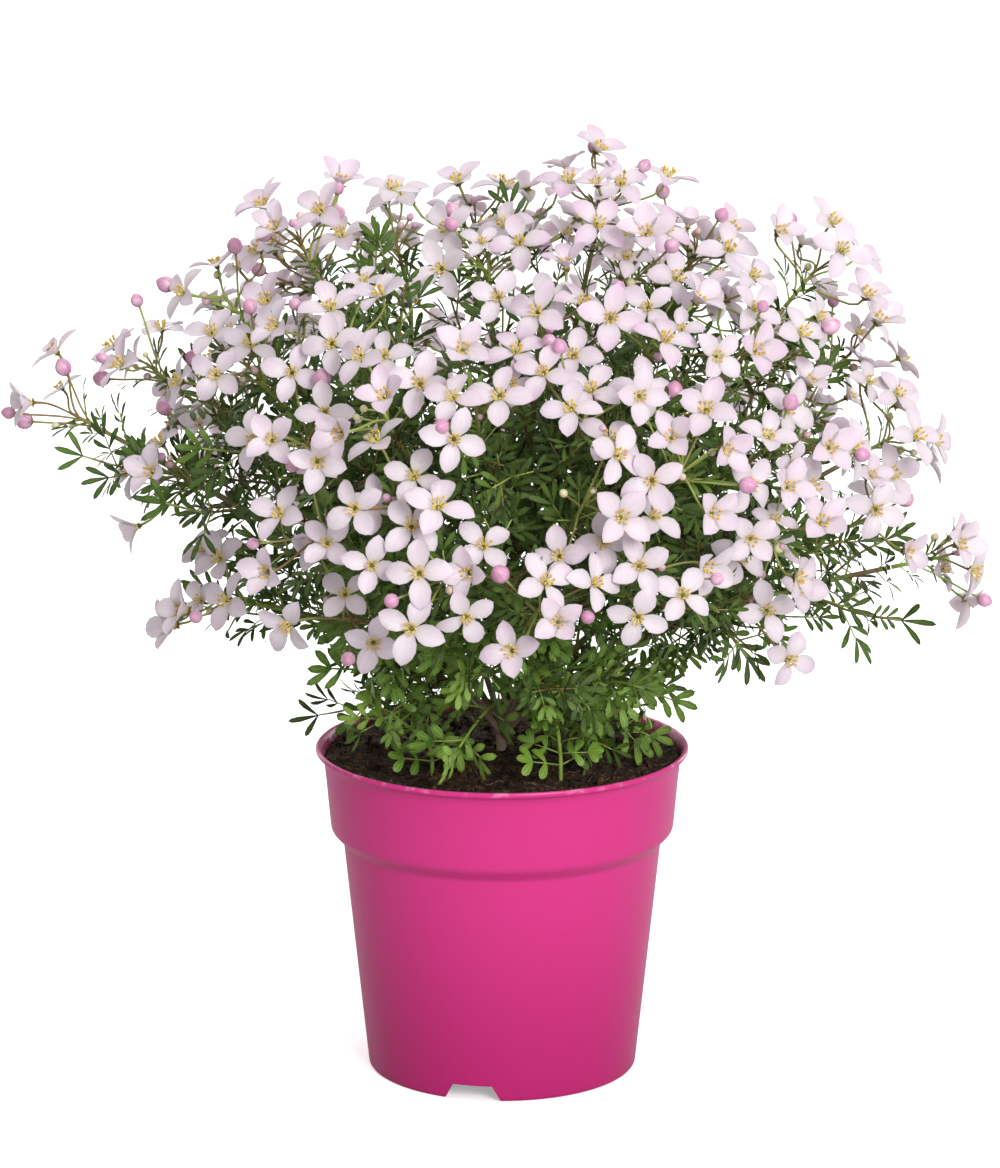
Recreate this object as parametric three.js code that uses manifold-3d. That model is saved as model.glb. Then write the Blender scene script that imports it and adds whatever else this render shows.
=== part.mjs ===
// Potted boronia: a flowering shrub with fine divided leaves in a round plastic nursery pot.
// Millimetres, +Z up. The pot's axis is the Z axis, its foot stands on z = 0 and its front looks toward -Y.
import * as THREE from "three";
import { mergeVertices } from "three/addons/utils/BufferGeometryUtils.js";
import Module from "manifold-3d";

const wasm = await Module();
wasm.setup();

// Pot
const POT_HEIGHT = 115;
const RIM_RADIUS = 65;
const COLLAR_TOP_RADIUS = 62.3;
const COLLAR_FOOT_RADIUS = 59.9;
const COLLAR_FOOT_Z = 86.5;
const STEP_FOOT_RADIUS = 55.7;
const STEP_FOOT_Z = 81.5;
const FOOT_RADIUS = 47.1;
const FOOT_BEVEL = 1;
const LIP_HEIGHT = 3.2;
const WALL = 1.3;
const FOOT_WALL = 3;
const FLOOR_Z = 6.5;
const POT_SEGMENTS = 32;

// Drain notches in the foot, and the drain holes in the floor beside them
const NOTCH_COUNT = 3;
const NOTCH_AZIMUTH = -12.7;
const NOTCH_FOOT_WIDTH = 21;
const NOTCH_TOP_WIDTH = 14;
const NOTCH_HEIGHT = 5.6;
const DRAIN_RADIUS = 4;
const DRAIN_REACH = 34;

// Compost
const SEAT_GAP = 0.3;
const COMPOST_Z = 111;
const COMPOST_RINGS = [46, 24];
const COMPOST_SWELL = 0.8;

// Woody base
const TRUNK_RADIUS = 4.2;
const TRUNK_FOOT_Z = 88;
const CROWN_Z = 124;
const LIMB_RADIUS = 2.3;
const LIMB_SINK = 3;
const LIMB_LENGTH = 22;
const LIMB_LIFT = 0.3;

// Leafy stems and twigs
const STEM_RADIUS = 1.5;
const TWIG_RADIUS = 1.0;
const STEM_STEPS = 5;
const TWIG_STEPS = 3;
const SWEEP_LEAD = 0.35;
const FIRST_FORK = 0.25;
const FORK_RANGE = 0.36;
const LEAF_SPACING = 34.5;
const STEM_BARE = 0.15;
const TWIG_BARE = 0.2;
const FIVE_LEAFLET_SHARE = 0.6;
const LEAF_RISE = 0.75;
const LEAF_LENGTH = 23;
const LEAF_THICKNESS = 1.0;
const LEAF_SINK = 0.5;
const LEAF_MIDDLE = 0.42;
const LEAF_WAIST = 0.09;
const LEAFLET_REACH = 0.58;
const LEAFLET_SHORTER = 0.07;
const LEAFLET_FAN = 52;
const BROAD_LEAFLET_FAN = 62;
const BROAD_LEAFLET_HALF_TURN = 17;
const LEAF_BENDS = 3;
const LEAF_ARCH = 0.012;

// Flower sprays
const HEART = new THREE.Vector3(0, 0, 150);
const STALK_RADIUS = 0.95;
const STALK_DEPTH = 28;
const STALK_LENGTH = 17;
const HEAD_STAGGER = 0.8;
const FINE_STALK_RADIUS = 0.32;
const BLOOM_RADIUS = 10.4;
const BLOOM_SPACING = 17.5;
const BLOOM_THICKNESS = 0.9;
const BLOOM_NECK_RADIUS = 1.1;
const BLOOM_NECK_DROP = 1.3;
const BUD_RADIUS = 2.7;
const BUD_SIDES = 5;
const BUD_RISE = 4;
const BUD_ROOM = 0.62;
const HEAD_SCATTER = 10;
const HEAD_DROOP = 0.012;
const HEAD_LEAN = 0.45;
const HEAD_TILT = 0.8;
const SMALLEST_HEAD = 0.92;
const HEAD_SIZE_RANGE = 0.16;
const PETALS = 4;
const PETAL_NOTCH = 0.42;
const TIP_RISE = 2.2;
const SETTLE_ROUNDS = 8;
const SETTLE_SHARE = 0.35;
const GOLDEN_ANGLE = Math.PI * (3 - Math.sqrt(5));

// Clearance between neighbouring nodes, and how far a piece is bent about its root to keep it
const CLEARANCE = 0.25;
const SIBLING_CLEARANCE = 0.05;
const BEND_STEP = 8;
const BEND_RINGS = 6;

// Each stem carries its sprays as x, y, z of the middle, blooms, buds, spread. The first spray ends the stem.
const STEMS = [
  [[-158, 0, 238, 2, 3, 18], [-131, 5, 256, 3, 3, 20], [-122, -15, 220, 5, 1, 23]],
  [[-104, -40, 178, 5, 1, 24], [-65, -105, 219, 5, 1, 24], [-57, -105, 186, 4, 1, 23]],
  [
    [-74, -5, 304, 5, 2, 22],
    [-103, 20, 279, 3, 2, 22],
    [-92, -40, 264, 5, 2, 23],
    [-70, -95, 246, 5, 2, 23],
    [-54, -75, 279, 5, 1, 23],
    [-40, 15, 303, 4, 1, 22],
  ],
  [[37, -5, 319, 6, 2, 20], [-5, -25, 302, 6, 3, 26], [46, -35, 298, 5, 1, 20]],
  [
    [15, -80, 285, 5, 1, 24],
    [53, -80, 280, 5, 1, 22],
    [-41, -110, 260, 4, 1, 22],
    [-9, -115, 262, 5, 1, 22],
    [28, -115, 258, 5, 1, 24],
  ],
  [
    [13, -140, 197, 5, 2, 23],
    [-20, -140, 210, 5, 1, 23],
    [-34, -125, 230, 5, 0, 24],
    [28, -122, 230, 3, 1, 20],
    [50, -125, 207, 6, 1, 24],
  ],
  [[114, 0, 291, 5, 1, 22], [72, 20, 296, 4, 3, 22], [90, -60, 279, 5, 2, 23], [129, 15, 258, 5, 1, 24]],
  [[145, 0, 230, 5, 0, 23], [101, -75, 246, 5, 2, 24], [63, -112, 240, 7, 2, 29]],
  [[162, 0, 184, 4, 2, 20], [135, -25, 204, 4, 1, 23], [97, -90, 214, 5, 0, 24], [92, -75, 187, 4, 0, 24]],
  [[-105, 75, 228, 5, 1, 30], [-70, 65, 279, 5, 1, 28], [-65, 112, 190, 5, 1, 29], [-10, 68, 298, 5, 1, 30]],
  [[105, 75, 232, 5, 1, 30], [62, 72, 280, 5, 1, 29], [72, 112, 192, 5, 1, 29], [0, 138, 236, 6, 2, 32]],
];

// Low shoots from the soil: x, y of the foot, lean in x and y, height, leaves
const LOW_SHOOTS = [
  [20, -32, -6, -9, 42, 9],
  [-24, -27, -14, -13, 26, 6],
];
const SHOOT_RADIUS = 0.95;
const SHOOT_DEPTH = 12;
const SHOOT_BARE = 0.52;
const BROAD_LEAF_LENGTH = 17;
const BROAD_LEAFLETS = 3;

const FINISHES = {
  pot: { color: 0xd23c8c, roughness: 0.42, metalness: 0 },
  compost: { color: 0x33231b, roughness: 0.95, metalness: 0 },
  bark: { color: 0x6b4a36, roughness: 0.8, metalness: 0 },
  leaf: { color: 0x3f5f2b, roughness: 0.5, metalness: 0 },
  shoot: { color: 0x5f8f3a, roughness: 0.5, metalness: 0 },
  petal: { color: 0xf0d3e6, roughness: 0.55, metalness: 0 },
};

const degrees = THREE.MathUtils.degToRad;
const vector = (x, y, z) => new THREE.Vector3(x, y, z);

// Repeatable draws between 0 and 1, one row for each seed.
function drawsFrom(seed) {
  let state = (seed * 7919 + 101) % 2147483647;
  const draw = () => {
    state = (state * 16807) % 2147483647;
    return state / 2147483647;
  };
  draw();
  return draw;
}

// A closed geometry as a solid that can be joined and cut.
function solidOf(geometry) {
  const bare = new THREE.BufferGeometry();
  bare.setAttribute("position", geometry.getAttribute("position"));
  bare.setIndex(geometry.index);
  const merged = mergeVertices(bare, 1e-3);
  const vertProperties = merged.getAttribute("position").array;
  const triVerts = new Uint32Array(merged.index.array);
  return new wasm.Manifold(new wasm.Mesh({ numProp: 3, vertProperties, triVerts }));
}

function geometryOf(solid) {
  const { vertProperties, triVerts } = solid.getMesh();
  const geometry = new THREE.BufferGeometry();
  geometry.setAttribute("position", new THREE.BufferAttribute(new Float32Array(vertProperties), 3));
  geometry.setIndex(new THREE.BufferAttribute(new Uint32Array(triVerts), 1));
  geometry.computeVertexNormals();
  return geometry;
}

// Joins solids into one body: scrap that touches nothing is dropped, and a sealed hollow is filled.
function fuse(solids) {
  const bodies = wasm.Manifold.union(solids).simplify(0.004).decompose();
  return bodies.reduce((largest, body) => (body.volume() > largest.volume() ? body : largest));
}

// A skin over a row of rings with any number of points each, closed at both ends.
function loft(rings) {
  const faces = [];
  let start = 0;
  for (let r = 0; r + 1 < rings.length; r++) {
    bridge(faces, start, rings[r].length, start + rings[r].length, rings[r + 1].length);
    start += rings[r].length;
  }
  for (let k = 1; k + 1 < rings[0].length; k++) faces.push(0, k + 1, k);
  for (let k = 1; k + 1 < rings.at(-1).length; k++) faces.push(start, start + k, start + k + 1);
  const geometry = new THREE.BufferGeometry().setFromPoints(rings.flat());
  geometry.setIndex(faces);
  return geometry;
}

// The band of triangles between two neighbouring rings.
function bridge(faces, low, lowCount, high, highCount) {
  const lowSteps = lowCount > 1 ? lowCount : 0;
  const highSteps = highCount > 1 ? highCount : 0;
  let i = 0;
  let j = 0;
  while (i < lowSteps || j < highSteps) {
    const lowNext = i < lowSteps && (j >= highSteps || (i + 1) / lowSteps <= (j + 1) / highSteps);
    if (lowNext) {
      faces.push(low + (i % lowCount), low + ((i + 1) % lowCount), high + (j % highCount));
      i++;
    } else {
      faces.push(low + (i % lowCount), high + ((j + 1) % highCount), high + (j % highCount));
      j++;
    }
  }
}

// A square frame whose Z axis is the given direction.
function frameAlong(origin, direction, spin = 0) {
  const z = direction.clone().normalize();
  const side = Math.abs(z.z) > 0.9 ? vector(1, 0, 0) : vector(0, 0, 1);
  const x = side.cross(z).normalize().applyAxisAngle(z, spin);
  const y = z.clone().cross(x);
  return new THREE.Matrix4().makeBasis(x, y, z).setPosition(origin);
}

// A ring of points round the frame's Z axis.
function ring(frame, radius, count, height = 0) {
  return Array.from({ length: count }, (_, k) => {
    const angle = (2 * Math.PI * k) / count;
    return vector(radius * Math.cos(angle), radius * Math.sin(angle), height).applyMatrix4(frame);
  });
}

// A tube of even radius along a curve.
function tube(curve, radius, steps, sides = 3) {
  const corners = Array.from({ length: sides }, (_, k) => {
    const angle = (2 * Math.PI * k) / sides;
    return new THREE.Vector2(radius * Math.cos(angle), radius * Math.sin(angle));
  });
  const section = new THREE.Shape(corners);
  return new THREE.ExtrudeGeometry(section, { steps, extrudePath: curve, bevelEnabled: false });
}

// A profile of radius and height pairs turned about the Z axis.
function turned(profile) {
  const points = profile.map(([radius, height]) => new THREE.Vector2(radius, height));
  const geometry = new THREE.LatheGeometry(points, POT_SEGMENTS);
  geometry.rotateX(Math.PI / 2);
  return geometry;
}

// A point at a radius from the pot's axis; azimuth 0 is the front and grows toward +X.
function around(azimuth, radius, z) {
  const angle = degrees(azimuth);
  return vector(radius * Math.sin(angle), -radius * Math.cos(angle), z);
}

// Pot: thin tapering wall, stepped collar, rolled lip, raised floor, notched foot
function makePot() {
  const lipZ = POT_HEIGHT - LIP_HEIGHT;
  const body = turned([
    [0, FLOOR_Z],
    [FOOT_RADIUS - FOOT_WALL, FLOOR_Z],
    [FOOT_RADIUS - FOOT_WALL, 0],
    [FOOT_RADIUS - FOOT_BEVEL, 0],
    [FOOT_RADIUS, FOOT_BEVEL],
    [STEP_FOOT_RADIUS, STEP_FOOT_Z],
    [COLLAR_FOOT_RADIUS, COLLAR_FOOT_Z],
    [COLLAR_TOP_RADIUS, lipZ],
    [RIM_RADIUS - 0.6, lipZ],
    [RIM_RADIUS, lipZ + 1.6],
    [RIM_RADIUS - 0.9, POT_HEIGHT],
    [COLLAR_TOP_RADIUS - 0.3, POT_HEIGHT],
    [COLLAR_TOP_RADIUS - WALL, POT_HEIGHT - 1.1],
    [COLLAR_FOOT_RADIUS - WALL, COLLAR_FOOT_Z + 0.7],
    [STEP_FOOT_RADIUS - WALL, STEP_FOOT_Z + 0.7],
    [FOOT_RADIUS - WALL + 0.4, FLOOR_Z + WALL],
    [0, FLOOR_Z + WALL],
  ]);
  let pot = solidOf(body);
  for (let k = 0; k < NOTCH_COUNT; k++) {
    const azimuth = NOTCH_AZIMUTH + (360 * k) / NOTCH_COUNT;
    pot = pot.subtract(solidOf(notchCutter(azimuth))).subtract(solidOf(drainCutter(azimuth)));
  }
  return pot;
}

function notchCutter(azimuth) {
  const outline = new THREE.Shape([
    new THREE.Vector2(-NOTCH_FOOT_WIDTH / 2, -1),
    new THREE.Vector2(NOTCH_FOOT_WIDTH / 2, -1),
    new THREE.Vector2(NOTCH_TOP_WIDTH / 2, NOTCH_HEIGHT),
    new THREE.Vector2(-NOTCH_TOP_WIDTH / 2, NOTCH_HEIGHT),
  ]);
  const depth = 3 * FOOT_WALL + 6;
  const cutter = new THREE.ExtrudeGeometry(outline, { depth, bevelEnabled: false });
  cutter.translate(0, 0, FOOT_RADIUS - depth + 2);
  cutter.rotateX(Math.PI / 2);
  cutter.rotateZ(degrees(azimuth));
  return cutter;
}

function drainCutter(azimuth) {
  const cutter = new THREE.CylinderGeometry(DRAIN_RADIUS, DRAIN_RADIUS, 4 * WALL, 8);
  cutter.rotateX(Math.PI / 2);
  const middle = around(azimuth, DRAIN_REACH, FLOOR_Z + WALL / 2);
  cutter.translate(middle.x, middle.y, middle.z);
  return cutter;
}

// Height of the uneven compost at a place.
function compostHeight(x, y) {
  const swell = Math.sin(0.13 * x + 0.8) * Math.cos(0.11 * y - 0.5) + 0.6 * Math.sin(0.21 * x - 0.17 * y);
  const mound = 1.5 * Math.exp(-(x * x + y * y) / 300);
  return COMPOST_Z + COMPOST_SWELL * swell + mound;
}

// Compost: fills the pot to just under the rim, with plain holes where stems stand
function makeCompost() {
  const geometry = turned([
    [0, FLOOR_Z + WALL + SEAT_GAP],
    [FOOT_RADIUS - WALL - SEAT_GAP, FLOOR_Z + WALL + SEAT_GAP],
    [STEP_FOOT_RADIUS - WALL - 1.3 * SEAT_GAP, STEP_FOOT_Z + 0.9],
    [COLLAR_FOOT_RADIUS - WALL - 1.3 * SEAT_GAP, COLLAR_FOOT_Z + 0.9],
    [COLLAR_TOP_RADIUS - WALL - 3 * SEAT_GAP, COMPOST_Z - 1.2],
    ...COMPOST_RINGS.map((radius) => [radius, COMPOST_Z]),
    [0, COMPOST_Z],
  ]);
  const place = geometry.getAttribute("position");
  for (let k = 0; k < place.count; k++) {
    if (place.getZ(k) > COMPOST_Z - 0.5) place.setZ(k, compostHeight(place.getX(k), place.getY(k)));
  }
  let compost = solidOf(geometry).subtract(soilHole(0, 0, TRUNK_RADIUS, TRUNK_FOOT_Z));
  for (const [x, y] of LOW_SHOOTS) {
    compost = compost.subtract(soilHole(x, y, SHOOT_RADIUS, COMPOST_Z - SHOOT_DEPTH));
  }
  return compost;
}

// The plain round hole that a stem of the given radius stands in.
function soilHole(x, y, radius, footZ) {
  const top = COMPOST_Z + 20;
  const foot = footZ - SEAT_GAP;
  const holeRadius = radius + 2 * SEAT_GAP;
  const hole = new THREE.CylinderGeometry(holeRadius, holeRadius, top - foot, 8);
  hole.rotateX(Math.PI / 2);
  hole.translate(x, y, (top + foot) / 2);
  return solidOf(hole);
}

// The way a spray looks, from the heart of the bush outward.
function outward(spray) {
  return spray.middle.clone().sub(HEART).normalize();
}

function readSpray([x, y, z, blooms, buds, spread], stem, number) {
  const spray = { middle: vector(x, y, z), blooms, buds, spread, stem, number };
  spray.out = outward(spray);
  spray.root = spray.middle.clone().addScaledVector(spray.out, -STALK_DEPTH);
  spray.draw = drawsFrom(number + 1);
  return spray;
}

// The direction that a stem leaves the crown in.
function limbDirection(leader) {
  const crown = vector(0, 0, CROWN_Z);
  const direction = leader.root.clone().sub(crown).normalize();
  direction.z += LIMB_LIFT;
  return direction.normalize();
}

// Woody base: short trunk in the compost and the limbs that fan from it
function makeWoodyBase(stems) {
  const trunk = new THREE.CylinderGeometry(LIMB_RADIUS + 1, TRUNK_RADIUS, CROWN_Z - TRUNK_FOOT_Z, 8);
  trunk.rotateX(Math.PI / 2);
  trunk.translate(0, 0, (CROWN_Z + TRUNK_FOOT_Z) / 2);
  const crown = vector(0, 0, CROWN_Z - LIMB_SINK);
  const limbs = stems.map(({ limbEnd }) => tube(new THREE.LineCurve3(crown, limbEnd), LIMB_RADIUS, 1, 4));
  return fuse([trunk, ...limbs].map(solidOf));
}

// A curve from a start and its direction to an end and its direction.
function sweep(start, startWay, end, endWay) {
  const reach = start.distanceTo(end);
  const lead = start.clone().addScaledVector(startWay, SWEEP_LEAD * reach);
  const tail = end.clone().addScaledVector(endWay, -SWEEP_LEAD * reach);
  return new THREE.CubicBezierCurve3(start, lead, tail, end);
}

// The stem's main curve from its limb, and a twig for each further spray.
function routeStem(rows, number, firstSpray) {
  const sprays = rows.map((row, k) => readSpray(row, number, firstSpray + k));
  const leader = sprays[0];
  const way = limbDirection(leader);
  const crown = vector(0, 0, CROWN_Z - LIMB_SINK);
  const limbEnd = crown.clone().addScaledVector(way, LIMB_LENGTH);
  const start = limbEnd.clone().addScaledVector(way, SEAT_GAP);
  const seat = (spray) => spray.root.clone().addScaledVector(spray.out, -SEAT_GAP);
  const main = sweep(start, way, seat(leader), leader.out);
  const twigs = sprays.slice(1).map((spray, k) => {
    const fork = FIRST_FORK + (FORK_RANGE * k) / (sprays.length - 1);
    const from = main.getPoint(fork);
    const along = main.getTangent(fork).add(spray.root.clone().sub(from).normalize()).normalize();
    return sweep(from, along, seat(spray), spray.out);
  });
  return { number, sprays, limbEnd, main, twigs };
}

// Where each bloom and bud of a spray sits, before the sprays settle among each other.
function scatterHeads(spray) {
  const across = frameAlong(spray.middle, spray.out, 2 * Math.PI * spray.draw());
  const heads = [];
  const total = spray.blooms + spray.buds;
  for (let k = 0; k < total; k++) {
    const isBud = k >= spray.blooms;
    const share = isBud ? (k - spray.blooms + 0.9) / (spray.buds + 0.4) : (k + 0.5) / spray.blooms;
    const reach = spray.spread * Math.sqrt(share);
    const turn = GOLDEN_ANGLE * k + (isBud ? 1.1 : 0);
    const rise = isBud ? BUD_RISE : 0;
    const height = HEAD_SCATTER * (spray.draw() - 0.5) - HEAD_DROOP * reach * reach + rise;
    const place = vector(reach * Math.cos(turn), reach * Math.sin(turn), height).applyMatrix4(across);
    const tilt = vector(spray.draw() - 0.5, spray.draw() - 0.5, spray.draw() - 0.5);
    const size = SMALLEST_HEAD + HEAD_SIZE_RANGE * spray.draw();
    const spin = 2 * Math.PI * spray.draw();
    heads.push({ spray, isBud, place, tilt, size, spin, order: k });
  }
  return heads;
}

// Pushes heads that crowd each other apart, a little in each round.
function settle(heads) {
  for (let round = 0; round < SETTLE_ROUNDS; round++) {
    heads.forEach((a, i) => {
      for (const b of heads.slice(i + 1)) {
        const apart = b.place.clone().sub(a.place);
        const wanted = BLOOM_SPACING * (a.isBud ? BUD_ROOM : 1) * (b.isBud ? BUD_ROOM : 1);
        const short = wanted - apart.length();
        if (short <= 0) continue;
        apart.normalize().multiplyScalar(SETTLE_SHARE * short);
        a.place.sub(apart);
        b.place.add(apart);
      }
    });
  }
}

// The point of the spray's stalk that a head's own stalk grows from: outer heads start lower.
function headRoot({ spray, order }) {
  const share = 1 - (HEAD_STAGGER * order) / (spray.blooms + spray.buds);
  return spray.root.clone().addScaledVector(spray.out, STALK_LENGTH * share - STALK_RADIUS);
}

// Which way a head looks.
function headWay(head) {
  const { spray, place, tilt } = head;
  const lean = place.clone().sub(spray.middle).divideScalar(spray.spread);
  return spray.out.clone().addScaledVector(lean, HEAD_LEAN).addScaledVector(tilt, HEAD_TILT).normalize();
}

// Bloom: a cupped star of four pointed petals round one eye, on a slim stalk
function bloomGeometry(head) {
  const way = headWay(head);
  const root = headRoot(head);
  const frame = frameAlong(head.place, way, head.spin);
  const stalkWay = head.place.clone().sub(root);
  const radius = BLOOM_RADIUS * head.size;
  const outline = [];
  for (let k = 0; k < PETALS; k++) {
    const middle = (2 * Math.PI * k) / PETALS;
    const add = (turn, reach, rise) => {
      const angle = middle + degrees(turn);
      const r = radius * reach;
      outline.push(vector(r * Math.cos(angle), r * Math.sin(angle), rise).applyMatrix4(frame));
    };
    add(0, 1, TIP_RISE);
    add(180 / PETALS, PETAL_NOTCH, TIP_RISE * PETAL_NOTCH);
  }
  const eye = [vector(0, 0, BLOOM_THICKNESS).applyMatrix4(frame)];
  const neck = ring(frame, BLOOM_NECK_RADIUS, 3, -BLOOM_NECK_DROP);
  const foot = ring(frameAlong(root, stalkWay), FINE_STALK_RADIUS, 3);
  return loft([matchRing(foot, neck), neck, outline, eye]);
}

// Turns a ring's numbering so that its points face the next ring's.
function matchRing(points, next) {
  const reach = (shift) => points.reduce((sum, _, k) => {
    return sum + points[(k + shift) % points.length].distanceTo(next[k]);
  }, 0);
  const shifts = points.map((_, k) => k);
  const best = shifts.reduce((a, b) => (reach(b) < reach(a) ? b : a));
  return points.map((_, k) => points[(k + best) % points.length]);
}

// Bud: a small round bead on a slim stalk
function budGeometry(head) {
  const root = headRoot(head);
  const way = head.place.clone().sub(root).normalize();
  const frame = frameAlong(head.place, way);
  const radius = BUD_RADIUS * head.size;
  const foot = ring(frameAlong(root, way), FINE_STALK_RADIUS, 3);
  return loft([
    foot,
    ring(frame, 2 * FINE_STALK_RADIUS, 3, -radius * 0.9),
    ring(frame, radius, BUD_SIDES),
    [vector(0, 0, radius * 1.15).applyMatrix4(frame)],
  ]);
}

// Leaf: one arched blade cut into narrow leaflets; its middle lies between the root and the leaflets
function leafGeometry(root, way, up, length, leaflets, isBroad) {
  const z = up.clone().addScaledVector(way, -up.dot(way)).normalize();
  const frame = new THREE.Matrix4().makeBasis(way, z.clone().cross(way), z).setPosition(root);
  const fan = isBroad ? BROAD_LEAFLET_FAN : LEAFLET_FAN;
  const middle = LEAF_MIDDLE * length;
  const outline = [];
  const add = (turn, reach) => {
    const x = middle + reach * Math.cos(degrees(turn));
    const y = reach * Math.sin(degrees(turn));
    outline.push(vector(x, y, -LEAF_ARCH * x * x).applyMatrix4(frame));
  };
  const foot = LEAF_WAIST * length;
  add(180, middle);
  add(-130, foot);
  for (let k = 0; k < leaflets; k++) {
    const turn = fan * (k - (leaflets - 1) / 2);
    const reach = length * (LEAFLET_REACH - LEAFLET_SHORTER * Math.abs(k - (leaflets - 1) / 2));
    if (isBroad) {
      add(turn - BROAD_LEAFLET_HALF_TURN, reach * 0.86);
      add(turn + BROAD_LEAFLET_HALF_TURN, reach * 0.86);
    } else {
      add(turn, reach);
    }
    if (k + 1 < leaflets) add(turn + fan / 2, foot * (isBroad ? 1.3 : 1));
  }
  add(130, foot);
  const half = LEAF_THICKNESS / 2;
  const rib = -LEAF_ARCH * middle * middle;
  const above = [vector(middle, 0, rib + half).applyMatrix4(frame)];
  const below = [vector(middle, 0, rib - half).applyMatrix4(frame)];
  return loft([below, outline, above]);
}

// Pieces placed so far, each with the node that it belongs to
const placed = [];

function keep(node, solid, isHost = false) {
  placed.push({ node, solid, isHost, box: boxOf(solid) });
}

function boxOf(solid) {
  const { min, max } = solid.boundingBox();
  return new THREE.Box3(vector(...min), vector(...max));
}

// True where a piece keeps clear of other nodes and of its siblings, apart from the stem that it grows on.
function isClear(node, solid) {
  const reach = boxOf(solid).expandByScalar(CLEARANCE);
  return placed.every((other) => {
    const isSibling = other.node === node;
    if ((isSibling && other.isHost) || !other.box.intersectsBox(reach)) return true;
    return other.solid.minGap(solid, 2 * CLEARANCE) >= (isSibling ? SIBLING_CLEARANCE : CLEARANCE);
  });
}

// Keeps the piece as drawn or, where it would cross another, bent about its root until it is clear.
function bentClear(node, geometry, root, way, rings = BEND_RINGS) {
  const frame = frameAlong(root, way);
  const back = frame.clone().invert();
  for (let bend = 0; bend <= rings; bend++) {
    const turns = bend === 0 ? 1 : 8;
    for (let turn = 0; turn < turns; turn++) {
      const angle = (2 * Math.PI * (turn + 0.3 * bend)) / turns;
      const axis = vector(Math.cos(angle), Math.sin(angle), 0);
      const swing = new THREE.Matrix4().makeRotationAxis(axis, degrees(BEND_STEP * bend));
      const bent = geometry.clone().applyMatrix4(back).applyMatrix4(swing).applyMatrix4(frame);
      const solid = solidOf(bent);
      if (isClear(node, solid)) {
        keep(node, solid);
        return solid;
      }
    }
  }
  return null;
}

const meshes = [];

function addMesh(name, solid, finish) {
  const mesh = new THREE.Mesh(geometryOf(solid), new THREE.MeshStandardMaterial(FINISHES[finish]));
  mesh.name = name;
  meshes.push(mesh);
}

const numbered = (name, k) => `${name}_${String(k + 1).padStart(2, "0")}`;

// Leaves along a curve, the blade clear of every other node or left out.
function leavesAlong(node, curve, draw, from) {
  const leaves = [];
  const count = Math.round((curve.getLength() * (1 - from)) / LEAF_SPACING);
  for (let k = 0; k < count; k++) {
    const t = from + ((1 - from) * (k + 0.5)) / count;
    const root = curve.getPointAt(t);
    const along = curve.getTangentAt(t);
    const turn = GOLDEN_ANGLE * 2 * k + 6 * draw();
    const side = vector(Math.cos(turn), Math.sin(turn), 0).transformDirection(frameAlong(root, along));
    const way = along.clone().multiplyScalar(LEAF_RISE).add(side).normalize();
    const leaflets = draw() < FIVE_LEAFLET_SHARE ? 5 : 3;
    const length = LEAF_LENGTH * (0.8 + 0.4 * draw());
    root.addScaledVector(way, -LEAF_SINK);
    const geometry = leafGeometry(root, way, along, length, leaflets, false);
    const solid = bentClear(node, geometry, root, way, LEAF_BENDS);
    if (solid) leaves.push(solid);
  }
  return leaves;
}

// A stem or stalk as a solid that other pieces grow on; the layout has to keep it clear by itself.
function hostSolid(node, geometry) {
  const solid = solidOf(geometry);
  if (!isClear(node, solid)) throw new Error(`${node} has a stem that crosses another node`);
  keep(node, solid, true);
  return solid;
}

function makeStemTubes(stem) {
  const node = numbered("leafy_stem", stem.number);
  const main = tube(stem.main, STEM_RADIUS, STEM_STEPS);
  const twigs = stem.twigs.map((twig) => tube(twig, TWIG_RADIUS, TWIG_STEPS));
  return [main, ...twigs].map((geometry) => hostSolid(node, geometry));
}

// Flower spray: a straight stalk whose blooms and buds spread at its end
function makeSpray(spray, heads) {
  const node = numbered("flower_spray", spray.number);
  const top = spray.root.clone().addScaledVector(spray.out, STALK_LENGTH);
  const pieces = [hostSolid(node, tube(new THREE.LineCurve3(spray.root, top), STALK_RADIUS, 1))];
  for (const head of heads) {
    const geometry = head.isBud ? budGeometry(head) : bloomGeometry(head);
    const root = headRoot(head);
    const solid = bentClear(node, geometry, root, head.place.clone().sub(root));
    if (!solid) throw new Error(`${node} has a head with no clear place`);
    pieces.push(solid);
  }
  addMesh(node, fuse(pieces), "petal");
}

// Low shoot: a thin stem with broad leaflets, standing in its own hole in the compost
function makeLowShoot([x, y, leanX, leanY, height, leaves], number) {
  const node = numbered("low_shoot", number);
  const foot = vector(x, y, COMPOST_Z - SHOOT_DEPTH);
  const buried = vector(x, y, COMPOST_Z - 5);
  const collar = vector(x, y, COMPOST_Z + 5);
  const tip = vector(x + leanX, y + leanY, COMPOST_Z + height);
  const curve = new THREE.CatmullRomCurve3([foot, buried, collar, tip]);
  const pieces = [hostSolid(node, tube(curve, SHOOT_RADIUS, STEM_STEPS))];
  for (let k = 0; k < leaves; k++) {
    const t = SHOOT_BARE + ((0.98 - SHOOT_BARE) * k) / (leaves - 1);
    const root = curve.getPointAt(t);
    const turn = GOLDEN_ANGLE * k + 0.6;
    const way = vector(Math.cos(turn), Math.sin(turn), 0.35 + 0.6 * t).normalize();
    const length = BROAD_LEAF_LENGTH - 4 * t;
    root.addScaledVector(way, -LEAF_SINK);
    const geometry = leafGeometry(root, way, vector(0, 0, 1), length, BROAD_LEAFLETS, true);
    const solid = bentClear(node, geometry, root, way, LEAF_BENDS);
    if (solid) pieces.push(solid);
  }
  addMesh(node, fuse(pieces), "shoot");
}

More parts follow.
